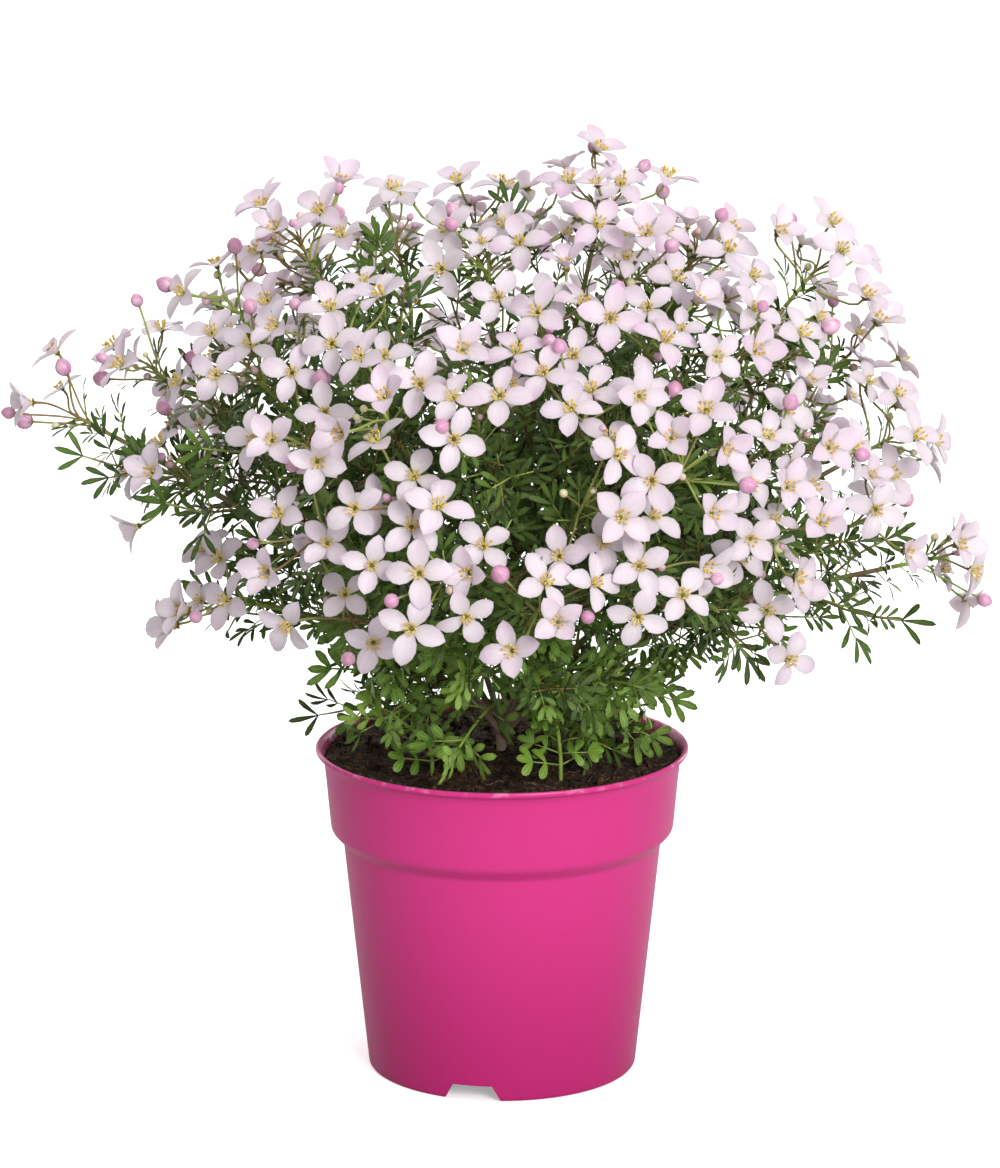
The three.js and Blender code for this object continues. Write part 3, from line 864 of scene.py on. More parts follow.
@dataclass(frozen=True)
class Finish:
    """A finish of the plant or the pot; each kind wires its own pattern.

    FIXED holds the shader values that stay the same all over the surface.
    """

    FIXED: ClassVar[dict[str, Any]] = {}

    name: str

    def material(self) -> bpy.types.Material:
        """The finish's material, made once.

        Returns:
            The material.
        """
        known = bpy.data.materials.get(self.name)
        if known:
            return known
        made = bpy.data.materials.new(self.name)
        made.use_nodes = True
        shader = made.node_tree.nodes["Principled BSDF"].inputs
        for socket, value in self.FIXED.items():
            shader[socket].default_value = value
        self.wire(Wiring(made.node_tree), shader)
        return made

    def wire(self, w: Wiring, shader: Any) -> None:
        """Wires the pattern into the shader's sockets."""
        raise NotImplementedError

    def place(self, w: Wiring) -> Socket:
        """The piece's own coordinates in metres."""
        return w.add("ShaderNodeTexCoord").outputs["Object"]

    def shade(self, w: Wiring) -> Socket:
        """The copy's own shade between 0 and 1."""
        return w.add("ShaderNodeAttribute", attribute_name="tint").outputs["Fac"]


@dataclass(frozen=True)
class PotPlastic(Finish):
    """Satin moulded plastic with faint flow marks, painted shade toward the foot, a scuffed lip whose pale scuffs are
    partly painted highlight, and soil dust inside.
    """

    FIXED = {"Specular IOR Level": 0.3}

    # Scales of the flow marks, the satin, the scuffs with their painted highlight, and the dust
    FLOW, SATIN, SCUFFS, SPECKS = 7.0, 60.0, 210.0, 260.0
    FLOW_SHARE = 0.35
    SCUFF_SHARE = 0.45
    LIP_BLEND = 0.002
    LEAST_DUST = 0.18
    DUST_RISE = 0.0045
    DUST_FALL = 0.001
    ROUGHNESS = 0.29
    SATIN_ROUGHNESS, WORN_ROUGHNESS, DUST_ROUGHNESS = 0.06, 0.2, 0.4

    body: Colour = paint(210, 52, 131)
    deep: Colour = paint(166, 24, 96)
    # Pale colour of the lip's scuffs: partly real wear, partly painted highlight on the lip
    scuff_and_highlight: Colour = paint(236, 150, 196)
    soil: Colour = paint(74, 46, 40)
    # Painted shade: how much of the deep colour is painted in at the foot, fading out at shade_top
    foot_shade_share: float = 0.72
    shade_top: float = 0.09
    lip_z: float = 0.1126
    soil_z: float = 0.1105
    # The inside lies within the line radius = slope * z + line, above inner_z
    inner_slope: float = 0.22
    inner_line: float = 0.03781
    inner_z: float = 0.104

    def wire(self, w: Wiring, shader: Any) -> None:
        """Wires the colour with its painted shade toward the foot, the dust, the scuffs with their painted highlight,
        and the gloss.
        """
        place = self.place(w)
        x, y, z = w.split(place)
        radius = w.math("SQRT", w.plus(w.times(x, x), w.times(y, y)))
        even = w.mix(w.times(w.noise(place, self.FLOW, 1.0), self.FLOW_SHARE), self.body, self.deep)
        # Painted shade: the plastic is painted darker toward the foot, below shade_top
        foot_shaded = w.mix(w.between(z, self.shade_top, 0.0, 0.0, self.foot_shade_share), even, self.deep)
        satin = w.noise(place, self.SATIN, 2.0)
        lip = w.between(z, self.lip_z, self.lip_z + self.LIP_BLEND)
        # The lip's pale scuffs: partly real wear, partly painted highlight; the same mask roughens the worn spots
        wear_and_highlight = w.times(lip, w.between(w.noise(place, self.SCUFFS, 5.0), 0.52, 0.66))
        scuffed_and_highlit = w.mix(w.times(wear_and_highlight, self.SCUFF_SHARE), foot_shaded, self.scuff_and_highlight)
        wall = w.plus(w.times(z, self.inner_slope), self.inner_line)
        inside = w.times(w.math("LESS_THAN", radius, wall), w.math("GREATER_THAN", z, self.inner_z))
        low = w.between(z, self.soil_z + self.DUST_RISE, self.soil_z - self.DUST_FALL)
        specks = w.between(w.noise(place, self.SPECKS, 5.0), 0.42, 0.62)
        dust = w.times(inside, w.times(w.plus(low, self.LEAST_DUST), specks))
        w.feed(shader["Base Color"], w.mix(dust, scuffed_and_highlit, self.soil))
        gloss = w.plus(w.times(satin, self.SATIN_ROUGHNESS), w.times(wear_and_highlight, self.WORN_ROUGHNESS))
        w.feed(shader["Roughness"], w.plus(w.plus(gloss, w.times(dust, self.DUST_ROUGHNESS)), self.ROUGHNESS))


@dataclass(frozen=True)
class Peat(Finish):
    """Dark crumbly peat with paler fibres."""

    FIXED = {"Roughness": 0.95, "Specular IOR Level": 0.25}

    # Scales of the patches, the crumbs, the flecks and the grit
    PATCHES, CRUMBS, FLECKS, GRIT = 190.0, 420.0, 900.0, 700.0

    dark: Colour = paint(35, 23, 13)
    light: Colour = paint(96, 66, 41)
    fleck: Colour = paint(150, 112, 84)

    def wire(self, w: Wiring, shader: Any) -> None:
        """Wires crumbs with painted shade in the gaps between them, pale flecks and strong relief."""
        place = self.place(w)
        patches = mottle(w, place, self.PATCHES, self.dark, self.light)
        crumbs = w.cells(place, self.CRUMBS)
        flecks = w.between(w.noise(w.stretched(place, 1, 0.4, 1), self.FLECKS, 2.0), 0.66, 0.74)
        # Painted shade: the peat is painted darker in the gaps between the crumbs
        shaded = w.mix(w.between(crumbs, 0.2, 0.7), patches["Colour"], self.dark)
        w.feed(shader["Base Color"], w.mix(w.times(flecks, 0.5), shaded, self.fleck))
        w.feed(shader["Normal"], w.bump(w.plus(crumbs, w.noise(place, self.GRIT, 4.0)), 0.8, 0.0012))


@dataclass(frozen=True)
class Fibre(Finish):
    """Dry root and bark fibres in the peat."""

    FIXED = {"Roughness": 0.9}
    STREAKS, RELIEF = 240.0, 1500.0

    pale: Colour = paint(136, 112, 92)
    brown: Colour = paint(84, 58, 44)

    def wire(self, w: Wiring, shader: Any) -> None:
        """Wires streaky browns."""
        place = self.place(w)
        patches = mottle(w, place, self.STREAKS, self.pale, self.brown)
        w.feed(shader["Base Color"], patches["Colour"])
        w.feed(shader["Normal"], w.bump(w.noise(place, self.RELIEF), 0.4, 0.0003))


@dataclass(frozen=True)
class Bark(Finish):
    """Brown ridged bark that turns to green skin higher up."""

    FIXED = {"Roughness": 0.85, "Specular IOR Level": 0.15}

    # Scales of the patches, the ridges and the cracks, and how far patches shift the line to green
    PATCHES, RIDGES, CRACKS = 420.0, 700.0, 500.0
    WAVER = 0.004
    STAIN_BLEND = 0.006
    STAIN_SHARE = 0.85

    brown: Colour = paint(50, 37, 22)
    grey: Colour = paint(84, 68, 44)
    green: Colour = paint(124, 132, 66)
    stain: Colour = paint(36, 27, 18)
    stain_z: float = 0.1185
    green_z: float = 0.122
    full_green_z: float = 0.142

    def wire(self, w: Wiring, shader: Any) -> None:
        """Wires ridges, patches and the change to green."""
        place = self.place(w)
        _, _, z = w.split(place)
        long = w.stretched(place, 1, 1, 0.22)
        patches = mottle(w, long, self.PATCHES, self.brown, self.grey)
        height = w.plus(z, w.times(patches["Mask"], self.WAVER))
        up = w.between(height, self.green_z, self.full_green_z)
        wet = w.between(z, self.stain_z, self.stain_z - self.STAIN_BLEND, 0.0, self.STAIN_SHARE)
        stained = w.mix(wet, patches["Colour"], self.stain)
        w.feed(shader["Base Color"], w.mix(up, stained, self.green))
        ridges = w.plus(w.noise(long, self.RIDGES, 4.0), w.cells(long, self.CRACKS))
        w.feed(shader["Normal"], w.bump(ridges, 0.6, 0.0006))


@dataclass(frozen=True)
class StemSkin(Finish):
    """Warty young skin that runs from green to reddish brown."""

    FIXED = {"Roughness": 0.5}
    GRAIN, GLAND = 1500.0, 0.25
    GLAND_SHARE = 0.35

    green: Colour = paint(112, 134, 50)
    red: Colour = paint(106, 80, 50)
    patch_scale: float = 34.0

    def wire(self, w: Wiring, shader: Any) -> None:
        """Wires the run of colour and the small warts."""
        place = self.place(w)
        patches = mottle(w, place, self.patch_scale, self.green, self.red)
        skin = grain(w, place, self.GRAIN, self.GLAND)
        dotted = w.mix(w.times(skin["Glands"], self.GLAND_SHARE), patches["Colour"], self.green)
        w.feed(shader["Base Color"], dotted)
        w.feed(shader["Normal"], w.bump(skin["Height"], 0.4, 0.0002))


@dataclass(frozen=True)
class LeafSkin(Finish):
    """A leaflet's face: green with a pale midrib, a fine pale edge and oil glands."""

    FIXED = {"Specular IOR Level": 0.35}
    PATCHES, GRAIN, GLAND = 90.0, 1400.0, 0.16
    PATCH_SHARE = 0.3
    LINE_SHARE = 0.4
    GLAND_SHARE = 0.25
    UNEVEN_GLOSS = 0.12
    VEIN_COUNT = 1.6

    dark: Colour = paint(27, 43, 14)
    fresh: Colour = paint(80, 110, 30)
    rib: Colour = paint(114, 138, 60)
    roughness: float = 0.42
    rib_width: float = 0.1
    edge_width: float = 0.07

    def wire(self, w: Wiring, shader: Any) -> None:
        """Wires the shade of each leaf, its lines, glands and gloss."""
        place = self.place(w)
        lines = blade_lines(w, self.rib_width, self.edge_width, self.VEIN_COUNT)
        patches = mottle(w, place, self.PATCHES, self.dark, self.fresh)
        base = w.mix(w.times(patches["Mask"], self.PATCH_SHARE), self.dark, self.fresh)
        own = w.mix(self.shade(w), base, self.fresh)
        skin = grain(w, place, self.GRAIN, self.GLAND)
        drawn = w.math("MAXIMUM", lines["Rib"], w.times(lines["Edge"], 0.7))
        marks = w.math("MAXIMUM", w.times(drawn, self.LINE_SHARE), w.times(skin["Glands"], self.GLAND_SHARE))
        w.feed(shader["Base Color"], w.mix(marks, own, self.rib))
        w.feed(shader["Roughness"], w.plus(w.times(patches["Mask"], self.UNEVEN_GLOSS), self.roughness))
        relief = w.minus(w.times(skin["Height"], 0.3), lines["Rib"])
        w.feed(shader["Normal"], w.bump(relief, 0.3, 0.0003))


@dataclass(frozen=True)
class PetalSkin(Finish):
    """A petal's face: near white with a lilac flush to the tip and edges, and faint veins."""

    FIXED = {
        "Roughness": 0.55,
        "Subsurface Weight": 0.5,
        "Subsurface Scale": 0.002,
        "Subsurface Radius": (1.0, 0.88, 0.95),
        "Sheen Weight": 0.15,
    }
    PATCHES, SILK = 160.0, 1800.0
    RIB_WIDTH, EDGE_WIDTH, VEIN_COUNT = 0.06, 0.10, 2.2
    EDGE_SHARE = 0.12
    TIP_SHARE = 0.7
    SHADE_CURVE = 1.6
    LEAST_SHADE = 0.14
    PATCH_SHARE = 0.07
    VEIN_SHARE = 0.14
    HEART_END = 0.12
    HEART_SHARE = 0.6

    pale: Colour = paint(214, 202, 209)
    flush: Colour = paint(200, 148, 189)
    vein: Colour = paint(186, 146, 178)
    heart: Colour = paint(206, 206, 160)
    least_flush: float = 0.16

    def wire(self, w: Wiring, shader: Any) -> None:
        """Wires the flush, the veins and the silky relief."""
        place = self.place(w)
        lines = blade_lines(w, self.RIB_WIDTH, self.EDGE_WIDTH, self.VEIN_COUNT)
        patches = mottle(w, place, self.PATCHES, self.pale, self.flush)
        along = lines["Along"]
        tip = w.between(along, 0.3, 1.05, self.least_flush, self.TIP_SHARE)
        outer = w.plus(tip, w.times(lines["Edge"], self.EDGE_SHARE))
        blush = w.times(outer, w.plus(w.math("POWER", self.shade(w), self.SHADE_CURVE), self.LEAST_SHADE))
        soft = w.plus(blush, w.times(patches["Mask"], self.PATCH_SHARE))
        flushed = w.mix(soft, self.pale, self.flush)
        veined = w.mix(w.times(lines["Veins"], self.VEIN_SHARE), flushed, self.vein)
        centre = w.between(along, self.HEART_END, 0.0)
        w.feed(shader["Base Color"], w.mix(w.times(centre, self.HEART_SHARE), veined, self.heart))
        relief = w.plus(lines["Veins"], w.noise(place, self.SILK))
        w.feed(shader["Normal"], w.bump(relief, 0.15, 0.0002))


@dataclass(frozen=True)
class BudSkin(Finish):
    """A closed bud: four petals that meet in fine seams, paler at the foot."""

    FIXED = {
        "Roughness": 0.42,
        "Subsurface Weight": 0.15,
        "Subsurface Scale": 0.002,
        "Subsurface Radius": (1.0, 0.7, 0.85),
    }
    PATCHES, RELIEF = 300.0, 900.0
    SEAM_HALF = 0.035
    SEAM_SHARE = 0.45
    YOUNG_SHADE = 0.3

    pale: Colour = paint(226, 198, 210)
    deep: Colour = paint(196, 136, 170)
    seam: Colour = paint(166, 102, 138)
    green: Colour = paint(206, 206, 150)

    def wire(self, w: Wiring, shader: Any) -> None:
        """Wires the seams and the run from foot to tip."""
        place = self.place(w)
        uv = w.add("ShaderNodeUVMap", uv_map="blade").outputs[0]
        turn, height, _ = w.split(uv)
        quarter = w.math("FRACT", w.times(turn, 4.0))
        seam = w.math("LESS_THAN", w.math("ABSOLUTE", w.minus(quarter, 0.5)), self.SEAM_HALF)
        patches = mottle(w, place, self.PATCHES, self.pale, self.deep)
        shade = self.shade(w)
        upper = w.times(w.between(height, 0.1, 0.9, 0.35, 1.0), shade)
        flushed = w.mix(upper, patches["Colour"], self.deep)
        young = w.mix(w.between(shade, self.YOUNG_SHADE, 0.0), flushed, self.green)
        w.feed(shader["Base Color"], w.mix(w.times(seam, self.SEAM_SHARE), young, self.seam))
        w.feed(shader["Normal"], w.bump(w.minus(w.noise(place, self.RELIEF), seam), 0.25, 0.0002))


@dataclass(frozen=True)
class Pollen(Finish):
    """Grainy anthers and the small parts of a bloom's eye."""

    FIXED = {"Roughness": 0.7}
    GRAINS = 4000.0

    first: Colour = paint(226, 192, 90)
    second: Colour = paint(196, 150, 52)
    scale: float = 800.0

    def wire(self, w: Wiring, shader: Any) -> None:
        """Wires a grainy run of two colours."""
        place = self.place(w)
        patches = mottle(w, place, self.scale, self.first, self.second)
        w.feed(shader["Base Color"], patches["Colour"])
        w.feed(shader["Normal"], w.bump(w.noise(place, self.GRAINS), 0.5, 0.0001))


POT_FINISH = PotPlastic("pot_plastic")
PEAT_FINISH = Peat("peat")
FIBRE_FINISH = Fibre("peat_fibre")
BARK_FINISH = Bark("bark")
STEM_FINISH = StemSkin("stem_skin")
STALK_FINISH = StemSkin("stalk_skin", paint(150, 170, 80), paint(126, 100, 60), 42.0)
SHOOT_FINISH = StemSkin("shoot_skin", paint(140, 168, 66), paint(118, 136, 58), 60.0)
LEAF_FACE = LeafSkin("leaf_face")
LEAF_BACK = LeafSkin("leaf_back", paint(52, 74, 26), paint(90, 118, 42), paint(124, 146, 74), 0.55)
FRESH_FACE = LeafSkin("fresh_leaf_face", paint(62, 98, 26), paint(116, 150, 46), paint(174, 196, 110), 0.4, 0.1, 0.14)
FRESH_BACK = LeafSkin("fresh_leaf_back", paint(98, 132, 50), paint(140, 172, 74), paint(184, 202, 120), 0.5)
PETAL_FACE = PetalSkin("petal_face")
# The petal's underside is painted paler than its face: painted light that stands in for light shining through the thin
# petal
PETAL_BACK_PAINTED_LIGHT = PetalSkin(
    "petal_back_painted_light", paint(230, 212, 224), paint(218, 172, 206), paint(200, 148, 188), paint(208, 200, 174), 0.25
)
BUD_FINISH = BudSkin("bud_skin")
ANTHER_FINISH = Pollen("anther")
FILAMENT_FINISH = Pollen("filament", paint(228, 220, 150), paint(206, 190, 104), 500.0)
EYE_FINISH = Pollen("eye", paint(64, 64, 24), paint(118, 108, 42), 700.0)
SEPAL_FINISH = StemSkin("sepal_skin", paint(128, 132, 74), paint(146, 88, 84), 120.0)


# Pattern pieces: each is modelled once and copied.


@dataclass(frozen=True)
class Blade:
    """A thin living blade, such as a petal or a leaflet, rolled from one grid and closed all round."""

    length: float
    half_width: float
    thickness: float
    outline: tuple[tuple[float, float], ...]
    strips: int = 2
    fold: float = 0.2
    bend: float = 0.2
    rise: float = 0.0
    ripple: float = 0.0

    CREASE = 70
    LEAST_BEND = 1e-3
    TAPER = 6
    CUP = 1.6
    CREST = 0.8

    def model(self, name: str, face: Finish, back: Finish, start: float = 0.0) -> Piece:
        """Rolls the blade along +X with its face up.

        Args:
            name: the piece's name.
            face: the upper side's finish.
            back: the underside's finish.
            start: how far from the origin it begins.

        Returns:
            The blade.
        """
        Bench.clear()
        steps = len(self.outline) - 1
        bpy.ops.mesh.primitive_grid_add(
            x_subdivisions=steps, y_subdivisions=2 * self.strips, size=1, calc_uvs=False, location=(0, 0, 0)
        )
        piece = Bench.take(name)
        mesh = piece.data
        flat = [(vertex.co.x + 0.5, vertex.co.y + 0.5) for vertex in mesh.vertices]
        for vertex, (row, turn) in zip(mesh.vertices, flat):
            vertex.co = self.surface(round(row * steps), turn) + Vector((start, 0, 0))
        layer = mesh.uv_layers.new(name="blade")
        for loop in mesh.loops:
            row, turn = flat[loop.vertex_index]
            layer.data[loop.index].uv = (self.outline[round(row * steps)][0], turn)
        Bench.dress(piece, face, back)
        for polygon in mesh.polygons:
            middle = sum(flat[v][1] for v in polygon.vertices) / len(polygon.vertices)
            polygon.material_index = 0 if middle < 0.5 else 1
        Bench.close(piece)
        Bench.smooth(piece, self.CREASE)
        return piece

    def surface(self, row: int, turn: float) -> Vector:
        """The point of the blade's skin at a row and a turn round its section."""
        share, width = self.outline[row]
        k = turn * 2
        across, side = (2 * k - 1, 1) if k <= 1 else (3 - 2 * k, -1)
        half = self.half_width * width
        swell = min(1.0, self.TAPER * share) * min(1.0, self.TAPER * (1 - share))
        depth = side * self.thickness / 2 * (1 - across * across) * swell
        angle = self.bend * share
        if abs(self.bend) > self.LEAST_BEND:
            x = self.length * math.sin(angle) / self.bend
            z = self.length * (1 - math.cos(angle)) / self.bend
        else:
            x, z = self.length * share, 0.0
        z += self.rise * self.length * math.sin(math.pi * min(1.0, share * self.CREST))
        z += self.fold * half * abs(across) ** self.CUP
        z += self.ripple * half * math.sin(7 * share + 2 * across) * across
        return Vector((x, across * half, z + depth))


class LeafKind(Enum):
    """The kinds of divided leaf, by the name of their pattern."""

    THREE = "leaf_of_three"
    FIVE = "leaf_of_five"
    SEVEN = "leaf_of_seven"
    FRESH = "fresh_leaf"
    BROAD = "broad_leaf"


@dataclass(frozen=True)
class LeafPlan:
    """One kind of divided leaf: its leaflets and its finishes."""

    NARROW_LINE = ((0.0, 0.16), (0.3, 0.62), (0.62, 1.0), (0.87, 0.78), (1.0, 0.0))
    BROAD_LINE = ((0.0, 0.2), (0.25, 0.62), (0.55, 0.95), (0.78, 1.0), (0.94, 0.66), (1.0, 0.0))

    # Where each pair of leaflets sits, its angle in degrees and its length, as shares of the leaf
    pairs: tuple[tuple[float, float, float], ...]
    # The end leaflet's length as a share of the leaf, and the half width of every leaflet
    end: float
    half: float = 1.1 * MM
    outline: tuple[tuple[float, float], ...] = NARROW_LINE
    face: Finish = LEAF_FACE
    back: Finish = LEAF_BACK
    stalk: Finish = STALK_FINISH


@dataclass
class LeafKit:
    """The divided leaves, modelled once each and copied to their places."""

    TWO_PAIRS = ((0.30, 50.0, 0.40), (0.50, 38.0, 0.44))
    THREE_PAIRS = ((0.24, 56.0, 0.32), (0.40, 48.0, 0.38), (0.56, 40.0, 0.38))
    WIDE_PAIRS = ((0.32, 60.0, 0.36), (0.62, 50.0, 0.34))
    FRESH_SKINS = (FRESH_FACE, FRESH_BACK, SHOOT_FINISH)
    PLANS = {
        LeafKind.THREE: LeafPlan(((0.42, 44.0, 0.48),), 0.56),
        LeafKind.FIVE: LeafPlan(TWO_PAIRS, 0.48),
        LeafKind.SEVEN: LeafPlan(THREE_PAIRS, 0.42),
        LeafKind.FRESH: LeafPlan(TWO_PAIRS, 0.46, 1.5 * MM, LeafPlan.NARROW_LINE, *FRESH_SKINS),
        LeafKind.BROAD: LeafPlan(WIDE_PAIRS, 0.36, 1.75 * MM, LeafPlan.BROAD_LINE, *FRESH_SKINS),
    }

    length: float = 22 * MM
    thickness: float = 0.34 * MM
    sag: float = 0.03
    fold: float = 0.35
    patterns: dict[LeafKind, Mesh] = field(default_factory=dict)

    def build(self) -> None:
        """Models every kind of leaf."""
        for kind, plan in self.PLANS.items():
            self.patterns[kind] = self.leaf(kind.value, plan)

    def leaf(self, name: str, plan: LeafPlan) -> Mesh:
        """One divided leaf along +X.

        Args:
            name: the leaf's name.
            plan: its leaflets and finishes.

        Returns:
            The leaf's mesh.
        """
        size = self.length
        tip = plan.pairs[-1][0]
        route = [(Vector((size * tip * s, 0, -self.sag * size * s * s)), (0.42 - 0.14 * s) * MM) for s in (0, 0.5, 1)]
        stalk = Bench.tubes(name, [route], 0)
        Bench.dress(stalk, plan.stalk)
        if "blade" not in stalk.data.uv_layers:
            stalk.data.uv_layers.new(name="blade")
        parts = [stalk]
        spots = [(tip, 0.0, plan.end)]
        for place, angle, share in plan.pairs:
            spots += [(place, angle, share), (place, -angle, share)]
        for k, (place, angle, share) in enumerate(spots):
            bend = -0.25 - 0.1 * (k % 3)
            blade = Blade(size * share, plan.half, self.thickness, plan.outline, 1, self.fold, bend)
            piece = blade.model(name, plan.face, plan.back)
            lift = Matrix.Rotation(math.radians(-10 + 6 * (k % 4)), 4, "Y")
            turn = Matrix.Rotation(math.radians(angle), 4, "Z")
            piece.data.transform(Matrix.Translation((size * place, 0, -self.sag * size * place)) @ turn @ lift)
            Bench.tint(piece.data, 0.0)
            parts.append(piece)
        return Bench.keep_mesh(Bench.join(name, parts))

    def place(
        self, kind: LeafKind, root: Vector, way: Vector, up: Vector, length: float, tint: float
    ) -> Piece:
        """Copies a leaf to its root.

        Args:
            kind: the leaf's kind.
            root, way: where it grows and where it points.
            up: the side that its face is turned to.
            length, tint: its length and its own shade.

        Returns:
            The copy.
        """
        z = (up - way * up.dot(way)).normalized()
        matrix = basis(root, way, z.cross(way), z) @ Matrix.Scale(length / self.length, 4)
        return Bench.copy_of(self.patterns[kind], matrix, tint)


@dataclass
class BloomKit:
    """The blooms and buds, modelled once for each way that they open."""

    PETAL = ((0.0, 0.22), (0.12, 0.48), (0.3, 0.84), (0.52, 1.0), (0.74, 0.86), (0.9, 0.5), (1.0, 0.0))
    SEPAL = ((0.0, 0.7), (0.4, 1.0), (1.0, 0.0))
    BLOOM_SEPAL = Blade(2.6 * MM, 1.0 * MM, 0.3 * MM, SEPAL, 1, 0.2, 0.2)
    BUD_SEPAL = Blade(1.0 * MM, 0.42 * MM, 0.12 * MM, SEPAL, 1, 0.2, 0.9)
    # How far the petals of each bloom stand up, in degrees
    LIFTS = (4.0, 12.0, 18.0, 9.0, 26.0, 38.0)
    CREASE = 80
    FIRST_SEED = 900

    petal_length: float = 10.5 * MM
    petal_half: float = 3.55 * MM
    eye_radius: float = 1.0 * MM
    stamens: int = 8
    blooms: list[Mesh] = field(default_factory=list)
    bud: Mesh | None = None

    def build(self) -> None:
        """Models the blooms, from wide open to half closed, and the bud."""
        for number, lift in enumerate(self.LIFTS):
            self.blooms.append(self.bloom(number, lift))
        self.bud = self.closed_bud()

    def bloom(self, number: int, lift: float) -> Mesh:
        """One bloom that looks along +Z.

        Args:
            number: the bloom's number, which also seeds its small differences.
            lift: how far its petals stand up, in degrees.

        Returns:
            The bloom's mesh.
        """
        draw = Draws(self.FIRST_SEED + number)
        name = f"bloom_{number + 1}"
        parts = [self.eye(name)]
        for k in range(4):
            blade = Blade(
                length=self.petal_length * draw.between(0.94, 1.04),
                half_width=self.petal_half * draw.between(0.9, 1.08),
                thickness=0.4 * MM,
                outline=self.PETAL,
                strips=4,
                fold=draw.between(0.22, 0.42),
                bend=draw.between(-0.55, 0.25),
                rise=draw.between(0.05, 0.1),
                ripple=draw.between(-0.1, 0.1),
            )
            petal = blade.model(name, PETAL_FACE, PETAL_BACK_PAINTED_LIGHT, self.eye_radius * 0.8)
            pitch = Matrix.Rotation(math.radians(-lift - draw.between(-6, 6)), 4, "Y")
            roll = Matrix.Rotation(math.radians(draw.between(-12, 12)), 4, "X")
            turn = Matrix.Rotation(math.radians(90 * k + draw.between(-5, 5)), 4, "Z")
            petal.data.transform(turn @ pitch @ roll)
            parts += [petal, self.sepal(name, self.BLOOM_SEPAL, k, 0.7 * MM, 0.1)]
        for k in range(self.stamens):
            parts += self.stamen(name, k, draw)
        return Bench.keep_mesh(Bench.join(name, parts))

    @staticmethod
    def sepal(name: str, blade: Blade, k: int, drop: float, lift: float) -> Piece:
        """One of the four sepals under a bloom or round the foot of a bud.

        Args:
            name: the piece's name.
            blade: the sepal's form.
            k: its number round the bloom.
            drop, lift: how far it sits under the middle, and how far it stands up in radians.

        Returns:
            The sepal.
        """
        piece = blade.model(name, SEPAL_FINISH, SEPAL_FINISH)
        turn = Matrix.Rotation(math.radians(90 * k + 45), 4, "Z")
        piece.data.transform(Matrix.Translation((0, 0, -drop)) @ turn @ Matrix.Rotation(-lift, 4, "Y"))
        return piece

    def eye(self, name: str) -> Piece:
        """The green ovary and the cup under the petals.

        Args:
            name: the piece's name.

        Returns:
            The eye.
        """
        Bench.clear()
        bpy.ops.mesh.primitive_uv_sphere_add(segments=8, ring_count=5, radius=self.eye_radius, location=(0, 0, 0))
        piece = Bench.take(name)
        for vertex in piece.data.vertices:
            vertex.co.z = vertex.co.z * (0.9 if vertex.co.z > 0 else 1.3)
        piece.data.uv_layers[0].name = "blade"
        Bench.dress(piece, EYE_FINISH)
        Bench.smooth(piece, self.CREASE)
        return piece

    def stamen(self, name: str, k: int, draw: Draws) -> list[Piece]:
        """One stamen: a slim filament that leans out, and its anther turned in.

        Args:
            name: the piece's name.
            k: the stamen's number round the eye.
            draw: the bloom's draws.

        Returns:
            The filament and the anther.
        """
        tall = (3.3 if k % 2 else 2.6) * MM * draw.between(0.9, 1.1)
        Bench.clear()
        bpy.ops.mesh.primitive_cone_add(
            vertices=4, radius1=0.3 * MM, radius2=0.2 * MM, depth=tall, location=(0, 0, tall / 2)
        )
        filament = Bench.take(name)
        Bench.settle_place(filament)
        Bench.dress(filament, FILAMENT_FINISH)
        Bench.clear()
        bpy.ops.mesh.primitive_ico_sphere_add(subdivisions=1, radius=0.55 * MM, location=(-0.3 * MM, 0, tall))
        anther = Bench.take(name)
        anther.scale = (0.9, 0.75, 1.15)
        Bench.settle_place(anther)
        Bench.dress(anther, ANTHER_FINISH)
        lean = Matrix.Rotation(math.radians(26 + draw.between(-8, 8)), 4, "Y")
        turn = Matrix.Rotation(math.tau * (k + 0.5) / self.stamens, 4, "Z")
        for piece in (filament, anther):
            piece.data.transform(turn @ Matrix.Translation((0.75 * MM, 0, 0.2 * MM)) @ lean)
            Bench.smooth(piece, self.CREASE)
        return [filament, anther]

    def closed_bud(self) -> Mesh:
        """A bud of radius 1 MM that looks along +Z, with its small calyx.

        Returns:
            The bud's mesh.
        """
        Bench.clear()
        bpy.ops.mesh.primitive_uv_sphere_add(segments=12, ring_count=8, radius=MM, location=(0, 0, 0))
        piece = Bench.take("bud")
        for vertex in piece.data.vertices:
            turn = math.atan2(vertex.co.y, vertex.co.x)
            round_share = 1 - 0.05 * abs(math.cos(2 * turn))
            point = max(0.0, vertex.co.z / MM) ** 3
            vertex.co.x *= round_share * (1 - 0.25 * point)
            vertex.co.y *= round_share * (1 - 0.25 * point)
            vertex.co.z *= 1 + 0.12 * point
        piece.data.uv_layers[0].name = "blade"
        Bench.dress(piece, BUD_FINISH)
        Bench.smooth(piece, self.CREASE)
        sepals = [self.sepal("bud", self.BUD_SEPAL, k, 1.06 * MM, 0.15) for k in range(4)]
        return Bench.keep_mesh(Bench.join("bud", [piece, *sepals]))

    def place_bloom(self, kind: int, matrix: Matrix, tint: float) -> Piece:
        """Copies a bloom to its place."""
        return Bench.copy_of(self.blooms[kind % len(self.blooms)], matrix, tint)

    def place_bud(self, matrix: Matrix, tint: float) -> Piece:
        """Copies a bud to its place."""
        return Bench.copy_of(self.bud, matrix, tint)


# Pieces of the object.


